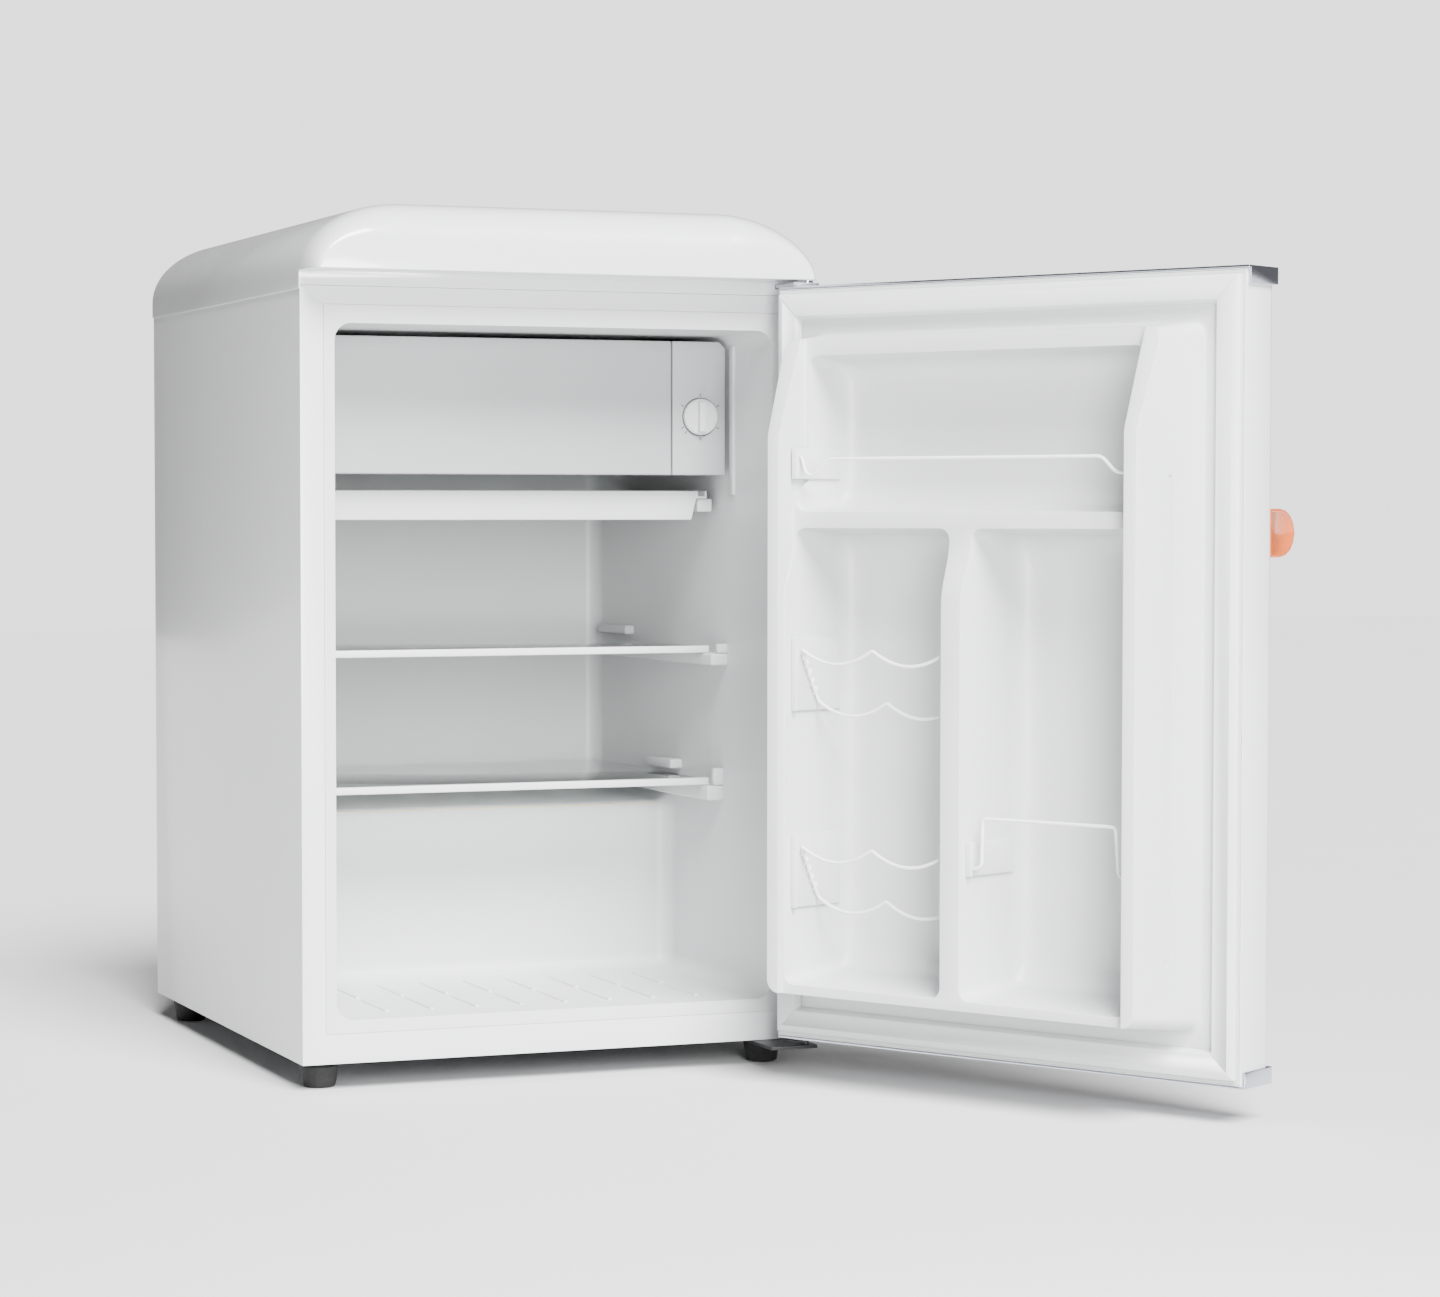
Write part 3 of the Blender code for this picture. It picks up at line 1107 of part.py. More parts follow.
def make_bottle_guard(door):
    """Raised wire in front of the tall bottle compartment."""
    v = -RACK_FRONT - MM
    foot = BOTTLE_GUARD_FOOT
    top = foot + BOTTLE_GUARD_RISE
    for side, wall in (("left", "divider_free"), ("right", "free")):
        clip("bottle_guard_clip_" + side, wall, foot - 9 * MM, foot + 20 * MM, door)
    start = wall_u("divider_free", v) + WIRE_OFF
    end = wall_u("free", v) - WIRE_OFF
    route = [door_point(start, v, foot - 3 * MM), door_point(start + 7 * MM, v, foot),
             door_point(start + 8 * MM, v, top), door_point(end - 13 * MM, v, top),
             door_point(end - 10 * MM, v, foot), door_point(end, v, foot - 3 * MM)]
    tube("bottle_guard_wire", bent(route, 4 * MM), WIRE, "coated_wire", door)


# ============================================================ the whole fridge

def centre_on_floor(root):
    """Move the fridge so that the middle of its box at rest is at x = y = 0 and its feet are at z = 0."""
    bpy.context.view_layer.update()
    graph = bpy.context.evaluated_depsgraph_get()
    points = []
    for thing in bpy.data.objects:
        if thing.type in ("MESH", "CURVE") and not thing.hide_render:
            shape = thing.evaluated_get(graph)
            points += [shape.matrix_world @ v.co for v in shape.to_mesh().vertices]
            shape.to_mesh_clear()
    middle = [(min(p[i] for p in points) + max(p[i] for p in points)) / 2 for i in range(2)]
    root.location = (-middle[0], -middle[1], -min(p[2] for p in points))


def build():
    for thing in list(bpy.data.objects):
        bpy.data.objects.remove(thing, do_unlink=True)
    root = empty("fridge", (0, 0, 0))
    make_shell(root)
    make_foam(root)
    make_liner(root)
    make_sheets(root)
    make_cap(root)
    make_hinges(root)
    make_feet(root)
    make_freezer(root)
    make_thermostat(root)
    make_tray(root)
    make_shelves(root)
    make_compressor(root)
    make_pipes(root)
    make_condenser_strips(root)
    make_gland(root)

    door = empty("door_hinge_axis", (HINGE_X, HINGE_Y, 0), root)
    make_door_panel(door)
    make_door_foam(door)
    make_door_liner(door)
    make_gasket(door)
    make_door_trims(door)
    make_handle(door)
    make_top_guard(door)
    for number, z in enumerate(RACK_HEIGHTS, start=1):
        make_can_rack("can_rack_%d" % number, z, door)
    make_bottle_guard(door)
    door.rotation_euler.z = DOOR_OPEN
    centre_on_floor(root)


build()
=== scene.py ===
import json
import math

import bmesh
import bpy
from mathutils import Matrix, Vector


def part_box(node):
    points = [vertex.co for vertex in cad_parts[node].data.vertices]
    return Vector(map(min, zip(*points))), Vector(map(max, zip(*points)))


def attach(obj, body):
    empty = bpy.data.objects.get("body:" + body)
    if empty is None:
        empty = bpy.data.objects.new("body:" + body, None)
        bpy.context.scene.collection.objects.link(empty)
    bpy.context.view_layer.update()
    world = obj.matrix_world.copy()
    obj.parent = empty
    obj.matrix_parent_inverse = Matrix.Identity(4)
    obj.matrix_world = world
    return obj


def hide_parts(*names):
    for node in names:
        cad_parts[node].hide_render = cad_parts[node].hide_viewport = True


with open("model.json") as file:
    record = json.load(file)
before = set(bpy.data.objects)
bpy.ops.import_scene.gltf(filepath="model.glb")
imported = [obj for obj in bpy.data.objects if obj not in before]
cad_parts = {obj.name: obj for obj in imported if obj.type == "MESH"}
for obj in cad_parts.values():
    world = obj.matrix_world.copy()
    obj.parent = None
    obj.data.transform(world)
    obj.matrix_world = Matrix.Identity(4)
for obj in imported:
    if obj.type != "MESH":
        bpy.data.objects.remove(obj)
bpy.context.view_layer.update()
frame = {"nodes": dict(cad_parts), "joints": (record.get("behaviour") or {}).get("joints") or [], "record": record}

MM = 0.001
GAP = 0.3 * MM                      # clearance between pieces that touch
FLANGE = 20.8 * MM                  # steel border at each side of the cabinet's mouth
TOP_FLANGE = 15.4 * MM
BOTTOM_RAIL = 25.7 * MM
DOOR_GAP = 8 * MM                   # between the cabinet and the shut door's inner face
LINER_WALL = 2 * MM                 # formed plastic sheet
NODES = frame["nodes"]
BODIES = frame["record"]["behaviour"]["bodies"]

# ---- where the cabinet and the door stand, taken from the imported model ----
cabinet_low, cabinet_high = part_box("cabinet_shell")
HALF = (cabinet_high.x - cabinet_low.x) / 2
DEPTH = cabinet_high.y - cabinet_low.y
HEIGHT = cabinet_high.z - cabinet_low.z
FAR = 2 * DEPTH
door_joint = next(j for j in frame["joints"] if j["name"] == "door_hinge")
DOOR_OPEN = math.radians(-door_joint["range_deg"][0])
CABINET = Matrix.Translation((cabinet_low.x + HALF, cabinet_low.y, cabinet_low.z))
HINGE = Matrix.Translation(door_joint["pos_m"])
DOOR = HINGE @ Matrix.Rotation(DOOR_OPEN, 4, "Z") @ HINGE.inverted() @ CABINET


def extent(node, place):
    """Lowest and highest corner of a CAD node in the cabinet's or the shut door's own directions."""
    back = place.inverted()
    points = [back @ v.co for v in NODES[node].data.vertices]
    return (Vector([min(p[i] for p in points) for i in range(3)]),
            Vector([max(p[i] for p in points) for i in range(3)]))


# ============================================================ making pieces

def piece(name, bm, material, body, nodes, place, angle=32):
    """Make a finished object from a bmesh laid out in its own directions, and tie it to the frame."""
    bmesh.ops.transform(bm, matrix=place, verts=bm.verts)
    mesh = bpy.data.meshes.new(name)
    bm.to_mesh(mesh)
    bm.free()
    mesh.shade_smooth()
    mesh.set_sharp_from_angle(angle=math.radians(angle))
    thing = bpy.data.objects.new(name, mesh)
    bpy.context.scene.collection.objects.link(thing)
    thing.data.materials.append(material)
    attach(thing, body)
    if nodes:
        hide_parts(*nodes)
    return thing


def block(lo, hi):
    """A box between two corners."""
    bm = bmesh.new()
    size = Vector(hi) - Vector(lo)
    middle = (Vector(hi) + Vector(lo)) / 2
    bmesh.ops.create_cube(bm, size=1, matrix=Matrix.Translation(middle) @ Matrix.Diagonal((*size, 1)))
    return bm


def ring(bm, points):
    """A closed loop of edges through the points."""
    verts = [bm.verts.new(p) for p in points]
    return [bm.edges.new(pair) for pair in zip(verts, verts[1:] + verts[:1])]


def skinned(loops):
    """Bridge closed loops one after another, and fill both ends."""
    bm = bmesh.new()
    rings = [ring(bm, loop) for loop in loops]
    for near, far in zip(rings, rings[1:]):
        bmesh.ops.bridge_loops(bm, edges=near + far)
    for edges in (rings[0], rings[-1]):
        bmesh.ops.edgeloop_fill(bm, edges=edges)
    bmesh.ops.recalc_face_normals(bm, faces=bm.faces)
    return bm


def combined(first, second, operation):
    """Boolean of two closed shapes, as a new bmesh."""
    things = []
    for shape in (first, second):
        mesh = bpy.data.meshes.new("shape")
        shape.to_mesh(mesh)
        shape.free()
        thing = bpy.data.objects.new("shape", mesh)
        bpy.context.scene.collection.objects.link(thing)
        things.append(thing)
    step = things[0].modifiers.new("step", "BOOLEAN")
    step.operation = operation
    step.solver = "EXACT"
    step.object = things[1]
    graph = bpy.context.evaluated_depsgraph_get()
    result = bmesh.new()
    result.from_mesh(things[0].evaluated_get(graph).to_mesh())
    things[0].evaluated_get(graph).to_mesh_clear()
    for thing in things:
        bpy.data.objects.remove(thing)
    return result


def carved(shape, *tools):
    """The shape less its tools."""
    for tool in tools:
        shape = combined(shape, tool, "DIFFERENCE")
    return shape


def joined(shape, *others):
    """The shape and the others as one."""
    for other in others:
        shape = combined(shape, other, "UNION")
    return shape


def cleaned(bm):
    """Merge doubles and flatten faces that lie in one plane."""
    bmesh.ops.remove_doubles(bm, verts=bm.verts, dist=0.01 * MM)
    bmesh.ops.dissolve_limit(bm, angle_limit=math.radians(0.5), verts=bm.verts, edges=bm.edges)
    return bm


def soften(bm, width, segments=3, sharper=35, chosen=None):
    """Round the edges that are sharper than an angle, or those of them that chosen picks."""
    limit = math.radians(sharper)
    edges = [e for e in bm.edges if len(e.link_faces) == 2 and e.calc_face_angle(0) > limit]
    if chosen:
        edges = [e for e in edges if chosen(e)]
    bmesh.ops.bevel(bm, geom=edges, offset=width, offset_type="OFFSET", segments=segments, profile=0.5,
                    affect="EDGES", material=-1, clamp_overlap=True)
    return bm


def node_copy(node, place):
    """A CAD node's mesh as a clean bmesh in its own directions."""
    bm = bmesh.new()
    bm.from_mesh(NODES[node].data)
    bmesh.ops.transform(bm, matrix=place.inverted(), verts=bm.verts)
    return cleaned(bm)


def rounded(a0, a1, b0, b1, radius, steps=6):
    """Outline of a rectangle with round corners."""
    points = []
    corners = [(a1 - radius, b0 + radius, -90), (a1 - radius, b1 - radius, 0),
               (a0 + radius, b1 - radius, 90), (a0 + radius, b0 + radius, 180)]
    for a, b, start in corners:
        for i in range(steps + 1):
            turn = math.radians(start + 90 * i / steps)
            points.append((a + radius * math.cos(turn), b + radius * math.sin(turn)))
    return points


def tube(name, points, radius, material, body, nodes, place, cyclic=False, sides=5, smooth=3):
    """A round wire or pipe along a route of points, its bends smoothed."""
    curve = bpy.data.curves.new(name, "CURVE")
    curve.dimensions = "3D"
    curve.bevel_depth = radius
    curve.bevel_resolution = sides
    curve.use_fill_caps = True
    spline = curve.splines.new("NURBS" if smooth else "POLY")
    spline.points.add(len(points) - 1)
    for spot, point in zip(spline.points, points):
        spot.co = (*(place @ Vector(point)), 1)
    spline.use_cyclic_u = cyclic
    spline.use_endpoint_u = not cyclic
    spline.order_u = smooth + 1
    spline.resolution_u = 6
    wire = bpy.data.objects.new(name, curve)
    bpy.context.scene.collection.objects.link(wire)
    wire.data.materials.append(material)
    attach(wire, body)
    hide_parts(*nodes)
    return wire


# ============================================================ materials

def linear(code):
    """An sRGB hex colour as the linear values that the shader takes."""
    parts = [int(code[i:i + 2], 16) / 255 for i in (0, 2, 4)]
    return (*[c / 12.92 if c <= 0.04045 else ((c + 0.055) / 1.055) ** 2.4 for c in parts], 1.0)


def add(tree, kind, sockets=None, **settings):
    """Add a node, set it up and link whatever feeds it."""
    node = tree.nodes.new("ShaderNode" + kind)
    for key, value in settings.items():
        setattr(node, key, value)
    for name, value in (sockets or {}).items():
        if isinstance(value, bpy.types.NodeSocket):
            tree.links.new(value, node.inputs[name])
        else:
            node.inputs[name].default_value = value
    return node


def start(name, colour, roughness, **sockets):
    """A material with its constant values on the shader's own sockets."""
    made = bpy.data.materials.new(name)
    made.use_nodes = True
    shader = made.node_tree.nodes["Principled BSDF"]
    shader.inputs["Base Color"].default_value = linear(colour)
    shader.inputs["Roughness"].default_value = roughness
    for key, value in sockets.items():
        shader.inputs[key.replace("_", " ").title().replace("Ior", "IOR")].default_value = value
    return made, made.node_tree, shader


def surface(tree, shader, shades=None, gloss=None, relief=()):
    """Give a shader its patterns: two close shades, an uneven gloss and a relief in layers.

    Each starts with its pattern, which is a socket or the size and detail of lumps. After it come
    the two colours, the lowest and highest roughness, or the depth of that layer of the relief.
    """
    place = add(tree, "TexCoord").outputs["Object"]
    parts = [("Base Color", shades), ("Roughness", gloss)] + [("Normal", layer) for layer in relief]
    under = {}
    for socket, part in parts:
        if not part:
            continue
        pattern, *values = part
        if isinstance(pattern, tuple):
            size, detail = pattern
            lumps = add(tree, "TexNoise", {"Vector": place, "Scale": 1 / size, "Detail": detail})
            pattern = lumps.outputs["Fac"]
        if socket == "Base Color":
            one, other = [linear(code) for code in values]
            mix = add(tree, "Mix", {"Factor": pattern, "A": one, "B": other}, data_type="RGBA")
            result = mix.outputs["Result"]
        elif socket == "Roughness":
            low, high = values
            spread = add(tree, "MapRange", {"Value": pattern, "To Min": low, "To Max": high})
            result = spread.outputs["Result"]
        else:
            depth, = values
            layer = add(tree, "Bump", {"Height": pattern, "Distance": depth, "Strength": 1.0, **under})
            result = layer.outputs["Normal"]
            under = {"Normal": result}
        tree.links.new(result, shader.inputs[socket])


def stoved_enamel():
    """Baked enamel on sheet steel: sprayed and stoved, so a clear gloss over a faint orange peel."""
    made, tree, shader = start("stoved_enamel", "CDCED0", 0.30, coat_weight=0.5, coat_roughness=0.12)
    surface(tree, shader, ((120 * MM, 2), "CBCCCE", "CFD0D2"), ((40 * MM, 2), 0.27, 0.34),
            [((2.2 * MM, 1), 0.012 * MM)])
    return made


def polished_abs():
    """ABS, injection moulded in a polished tool: a soft gloss with long, shallow flow waves."""
    made, tree, shader = start("polished_abs", "CDCED0", 0.24, coat_weight=0.6, coat_roughness=0.08)
    surface(tree, shader, ((160 * MM, 2), "CBCCCE", "CFD0D2"), ((30 * MM, 2), 0.21, 0.28),
            [((45 * MM, 0), 0.05 * MM)])
    return made


def formed_polystyrene():
    """High impact polystyrene sheet, vacuum formed: eggshell gloss, slow draw waves and a fine grain."""
    made, tree, shader = start("formed_polystyrene", "C4C5C6", 0.42, coat_weight=0.15, coat_roughness=0.3)
    surface(tree, shader, ((90 * MM, 2), "C2C3C4", "C6C7C8"), ((25 * MM, 2), 0.38, 0.47),
            [((60 * MM, 0), 0.08 * MM), ((1 * MM, 2), 0.01 * MM)])
    return made


def textured_abs():
    """ABS from a spark eroded tool: satin, with a fine even stipple of about half a millimetre."""
    made, tree, shader = start("textured_abs", "CBCCCD", 0.38)
    surface(tree, shader, ((70 * MM, 2), "C9CACB", "CDCECF"), ((6 * MM, 2), 0.35, 0.42),
            [((0.6 * MM, 1), 0.012 * MM)])
    return made


def shade_greyed_polystyrene():
    """Injection moulded white polystyrene of the cold parts: its grey colour is painted shade of the deep recess
    under the top of the mouth; duller than the rest, lightly stippled.
    """
    made, tree, shader = start("shade_greyed_polystyrene", "A2A3A5", 0.46)
    surface(tree, shader, ((80 * MM, 2), "9FA0A2", "A5A6A8"), ((9 * MM, 2), 0.42, 0.52),
            [((0.8 * MM, 1), 0.012 * MM)])
    return made


def toughened_glass():
    """Float glass, cut, ground and toughened: clear, very slightly green through its thickness."""
    made, tree, shader = start("toughened_glass", "F2F8F5", 0.02, transmission_weight=1.0, ior=1.5)
    surface(tree, shader, gloss=((50 * MM, 2), 0.015, 0.035))
    return made


def bright_chrome():
    """Nickel and chrome plated strip, roll formed and buffed: sharp reflections, fine buffing lines."""
    made, tree, shader = start("bright_chrome", "C9CCD6", 0.10, metallic=1.0)
    place = add(tree, "TexCoord").outputs["Object"]
    along = add(tree, "Mapping", {"Vector": place, "Scale": (1, 1, 12)}).outputs["Vector"]
    lines = add(tree, "TexNoise", {"Vector": along, "Scale": 1 / (3 * MM), "Detail": 3}).outputs["Fac"]
    surface(tree, shader, gloss=(lines, 0.07, 0.15), relief=[(lines, 0.004 * MM)])
    return made


def copper_lacquer():
    """Metallised and lacquered handle: warm copper under a clear coat, faint flake."""
    made, tree, shader = start("copper_lacquer", "C65F2B", 0.28, metallic=0.35, coat_weight=0.7,
                               coat_roughness=0.1)
    surface(tree, shader, ((1.2 * MM, 3), "C15A27", "CD6833"), ((12 * MM, 2), 0.23, 0.32),
            [((8 * MM, 2), 0.02 * MM)])
    return made


def soft_vinyl():
    """Extruded soft PVC door seal: matte, with a fine uneven skin."""
    made, tree, shader = start("soft_vinyl", "CBCCCD", 0.55, sheen_weight=0.1)
    surface(tree, shader, ((50 * MM, 2), "C9CACB", "CDCECF"), ((10 * MM, 2), 0.50, 0.62),
            [((1.4 * MM, 2), 0.02 * MM)])
    return made


def moulded_rubber():
    """Compression moulded black rubber: dull, with a fine pitted skin and a dusting of wear."""
    made, tree, shader = start("moulded_rubber", "151515", 0.75)
    surface(tree, shader, ((9 * MM, 4), "101010", "222221"), ((3 * MM, 2), 0.65, 0.85),
            [((0.8 * MM, 3), 0.04 * MM)])
    return made


def black_nylon():
    """Glass filled nylon, injection moulded: black satin with a fine speckle."""
    made, tree, shader = start("black_nylon", "1A1A1B", 0.5)
    surface(tree, shader, ((1.5 * MM, 3), "161617", "222224"), ((4 * MM, 2), 0.42, 0.58),
            [((0.7 * MM, 2), 0.02 * MM)])
    return made


def galvanised_sheet():
    """Hot dip galvanised steel: grey crystals of about 8 mm, each with its own shade and gloss."""
    made, tree, shader = start("galvanised_sheet", "A4A8AB", 0.42, metallic=1.0)
    place = add(tree, "TexCoord").outputs["Object"]
    crystals = add(tree, "TexVoronoi", {"Vector": place, "Scale": 1 / (8 * MM)})
    shade = add(tree, "SeparateColor", {"Color": crystals.outputs["Color"]}).outputs["Red"]
    surface(tree, shader, (shade, "989CA0", "B4B8BB"), (shade, 0.34, 0.52),
            [(crystals.outputs["Distance"], 0.02 * MM)])
    return made


def roll_bonded_aluminium():
    """Roll bonded aluminium sheet: satin, with fine rolling lines across it."""
    made, tree, shader = start("roll_bonded_aluminium", "C6C8CA", 0.36, metallic=1.0)
    place = add(tree, "TexCoord").outputs["Object"]
    along = add(tree, "Mapping", {"Vector": place, "Scale": (1, 0.05, 1)}).outputs["Vector"]
    lines = add(tree, "TexNoise", {"Vector": along, "Scale": 1 / (0.8 * MM), "Detail": 4}).outputs["Fac"]
    surface(tree, shader, (lines, "BDBFC1", "CDCFD1"), (lines, 0.30, 0.44), [(lines, 0.01 * MM)])
    return made


def black_lacquer():
    """Dip coated black lacquer on steel: satin, a little uneven, greyed where dust has settled."""
    made, tree, shader = start("black_lacquer", "141415", 0.38, coat_weight=0.2, coat_roughness=0.3)
    surface(tree, shader, ((30 * MM, 4), "111112", "242426"), ((12 * MM, 2), 0.32, 0.50),
            [((3 * MM, 2), 0.02 * MM)])
    return made


def drawn_copper():
    """Drawn copper tube: warm and bright where clean, browned by flux and handling."""
    made, tree, shader = start("drawn_copper", "B87048", 0.30, metallic=1.0)
    surface(tree, shader, ((18 * MM, 4), "C27A50", "8A4E32"), ((6 * MM, 2), 0.22, 0.42),
            [((1.5 * MM, 2), 0.01 * MM)])
    return made


def coated_wire():
    """Steel wire dipped in white polyethylene: thick soft gloss with small sags."""
    made, tree, shader = start("coated_wire", "E6E6E8", 0.30, coat_weight=0.3, coat_roughness=0.1)
    surface(tree, shader, ((20 * MM, 2), "E3E3E5", "EAEAEC"), ((8 * MM, 2), 0.26, 0.36),
            [((5 * MM, 2), 0.05 * MM)])
    return made


def rigid_foam():
    """Poured polyurethane foam: straw coloured, with closed cells about a millimetre across."""
    made, tree, shader = start("rigid_foam", "DCCB93", 0.9)
    place = add(tree, "TexCoord").outputs["Object"]
    cells = add(tree, "TexVoronoi", {"Vector": place, "Scale": 1 / (1.5 * MM)}).outputs["Distance"]
    surface(tree, shader, (cells, "E3D39D", "CDB97D"), relief=[(cells, 0.2 * MM)])
    return made


def studio_floor():
    """Matte paper sweep: plain and pale."""
    made, tree, shader = start("studio_floor", "C6C6C6", 0.85)
    surface(tree, shader, ((600 * MM, 2), "C4C4C4", "C8C8C8"))
    return made


ENAMEL = stoved_enamel()
CAP = polished_abs()
FORMED = formed_polystyrene()
MOULDED = textured_abs()
GLASS = toughened_glass()
CHROME = bright_chrome()
COPPER = copper_lacquer()
SEAL = soft_vinyl()
RUBBER = moulded_rubber()
NYLON = black_nylon()
ZINC = galvanised_sheet()
ALUMINIUM = roll_bonded_aluminium()
LACQUER = black_lacquer()
TUBE = drawn_copper()
WIRE = coated_wire()
FOAM = rigid_foam()
# white polystyrene darkened to a grey that paints the shade over the freezer and thermostat
SHADE_GREYED_WHITE = shade_greyed_polystyrene()

SLOT_MATERIAL = {
    "white_enamel": ENAMEL, "white_cap": CAP, "white_plastic": MOULDED, "clear_glass": GLASS,
    "chrome": CHROME, "copper_gloss": COPPER, "white_rubber": SEAL, "black_rubber": RUBBER,
    "black_plastic": NYLON, "foam": FOAM, "galvanised_steel": ZINC, "aluminium": ALUMINIUM,
    "black_enamel": LACQUER, "copper_tube": TUBE, "coated_wire": WIRE,
}
SLOTS = {part["node"]: part["material_slot"] for part in frame["record"]["subparts"]}


def dress(node, material=None):
    """Give a CAD node that stays as it is its full material."""
    thing = NODES[node]
    thing.data.materials.clear()
    thing.data.materials.append(material or SLOT_MATERIAL[SLOTS[node]])


for node in NODES:
    dress(node)
for node in ("inner_liner", "door_liner"):
    dress(node, FORMED)
# the freezer and thermostat parts are white like the rest; their grey material is painted shade
for node in ("freezer_flap", "freezer_frame", "thermostat_housing"):
    dress(node, SHADE_GREYED_WHITE)


# ============================================================ rounded edges on the rigid parts

# width of the rounding on each rigid part in millimetres, by name
EDGE_ROUND = {
    "base_plate": 0.4, "rear_panel": 0.4, "machine_room_panel": 0.5,
    "freezer_frame": 0.6, "freezer_flap": 1.5, "evaporator_box": 0.5, "thermostat_housing": 1.0,
    "drip_tray": 1.2, "tray_rail_left": 1.5, "tray_rail_right": 1.5,
    "upper_shelf_glass": 0.5, "upper_shelf_edge": 0.6, "lower_shelf_glass": 0.5, "lower_shelf_edge": 0.6,
    "hinge_plate_top": 0.5, "hinge_plate_bottom": 0.6, "hinge_pin_top": 0.4,
    "foot_front_left": 0.8, "foot_front_right": 0.8, "foot_rear_left": 0.8, "foot_rear_right": 0.8,
    "compressor": 0.6, "compressor_mount": 0.5, "relay_cover": 2.0, "evaporation_pan": 0.7,
    "filter_drier": 0.5, "condenser_strip_left": 0.3, "condenser_strip_right": 0.3, "mains_gland": 0.8,
    "door_panel": 1.0, "door_trim_top": 0.5, "door_trim_bottom": 0.5,
    "top_guard_clip_left": 0.7, "top_guard_clip_right": 0.7,
    "can_rack_1_clip_left": 0.7, "can_rack_1_clip_right": 0.7, "can_rack_2_clip_left": 0.7,
    "can_rack_2_clip_right": 0.7, "bottle_guard_clip_left": 0.7, "bottle_guard_clip_right": 0.7,
}


def round_edges(node, width):
    """Replace a CAD node by the same shape with its edges rounded."""
    owner = body_of(node)
    place = DOOR if owner == "door" else CABINET
    bm = soften(node_copy(node, place), width * MM)
    piece(node + "_finished", bm, NODES[node].data.materials[0], owner, [node], place)


def body_of(node):
    return next(name for name, members in BODIES.items() if node in members)


for node, width in EDGE_ROUND.items():
    round_edges(node, width)


# ============================================================ top cap

CAP_CORNER_WIDE = 88 * MM
CAP_CORNER_HIGH = 60 * MM
CAP_FRONT_CURVE = 40 * MM
CAP_EDGE_CURVE = 9 * MM
CAP_BAND = 2 * MM                   # the skirt's band stands this far in front of the cabinet
CAP_UNDERSIDE = 12.6 * MM           # underside of the overhang, above the cabinet
CAP_WALL = 3 * MM


def cap_loop(turn, front, half, top, bottom):
    """Front view of the cap at one turn of the curve from its front round to its top."""
    drawn_in = 1 - math.sin(turn)
    points = [(half, bottom)]
    steps = 22
    for i in range(steps + 1):
        corner = math.radians(90 * i / steps)
        sideways = math.cos(corner)
        curve = CAP_EDGE_CURVE + (CAP_FRONT_CURVE - CAP_EDGE_CURVE) * max(0, 1 - sideways) ** 0.8
        points.append((half - CAP_CORNER_WIDE + (CAP_CORNER_WIDE - curve * drawn_in) * sideways,
                       top - CAP_CORNER_HIGH + (CAP_CORNER_HIGH - curve * drawn_in) * math.sin(corner)))
    points[0] = (points[1][0], bottom)
    points += [(-x, z) for x, z in reversed(points)]
    y = front + CAP_FRONT_CURVE * (1 - math.cos(turn))
    return [(x, y, z) for x, z in points]


def make_cap():
    """Pillow-shaped moulding with a narrow band across its front and a hollow underside."""
    low, high = extent("top_cap", CABINET)
    steps = 14
    loops = [cap_loop(math.radians(90 * i / steps), low.y, high.x, high.z, low.z) for i in range(steps + 1)]
    loops.append([(x, high.y, z) for x, y, z in loops[-1]])
    under = HEIGHT + CAP_UNDERSIDE
    inner = HALF - CAP_WALL
    cap = carved(skinned(loops),
                 block((-FAR, -FAR, 0), (FAR, -CAP_BAND, under)),
                 block((-HALF - GAP, -FAR, 0), (HALF + GAP, FAR, HEIGHT + GAP)),
                 block((-inner, CAP_BAND, 0), (inner, DEPTH - 2 * CAP_WALL, under + 2 * CAP_WALL)))
    plate_low, plate_high = extent("hinge_plate_top", CABINET)
    slot = block((plate_low.x - GAP, -FAR, plate_high.z - 3.6 * MM),
                 (plate_high.x + GAP, 2 * CAP_BAND, plate_high.z + GAP))
    cap = soften(cleaned(carved(cap, slot)), 0.9 * MM, 2, sharper=55)
    piece("top_cap_moulding", cap, CAP, "cabinet", ["top_cap"], CABINET, angle=40)


# ============================================================ food compartment

LINER_RADIUS = 15 * MM
STEP_RADIUS = 9 * MM
MOUTH_ROUND = 4.5 * MM
TAPER = 8.2 * MM                    # the room is this much narrower on each side at its back
SHELF_INSET = 12.7 * MM             # a shelf's side, inwards from the room's side
FLOOR_RIBS = 8
RIB_PITCH = 42 * MM
RIB_ROWS = ((38 * MM, 112 * MM), (124 * MM, 200 * MM))      # from the mouth to the step
FREEZER_FRONT = 92.5 * MM           # from the cabinet's front to the freezer's
BORDER = 10 * MM
SILL = 11.8 * MM
HEAD = 16 * MM


def bent_corners(points, radii, steps=6):
    """Outline through the points with each corner rounded by its own radius; none where it is 0."""
    smooth = []
    count = len(points)
    for i, radius in enumerate(radii):
        corner = Vector(points[i])
        if not radius:
            smooth.append(tuple(corner))
            continue
        near = corner + (Vector(points[i - 1]) - corner).normalized() * radius
        far = corner + (Vector(points[(i + 1) % count]) - corner).normalized() * radius
        for step in range(steps + 1):
            turn = math.radians(90 * step / steps)
            a, b = 1 - math.sin(turn), 1 - math.cos(turn)
            smooth.append(tuple(corner + (near - corner) * a + (far - corner) * b))
    return smooth


ROOM_HALF = HALF - FLANGE - BORDER
ROOM_BOTTOM = BOTTOM_RAIL + SILL
ROOM_TOP = HEIGHT - TOP_FLANGE - HEAD
ROOM_BACK = extent("inner_liner", CABINET)[1].y - LINER_WALL
STEP_FRONT = DEPTH - 282 * MM       # the step over the machine room
STEP_TOP = 200 * MM


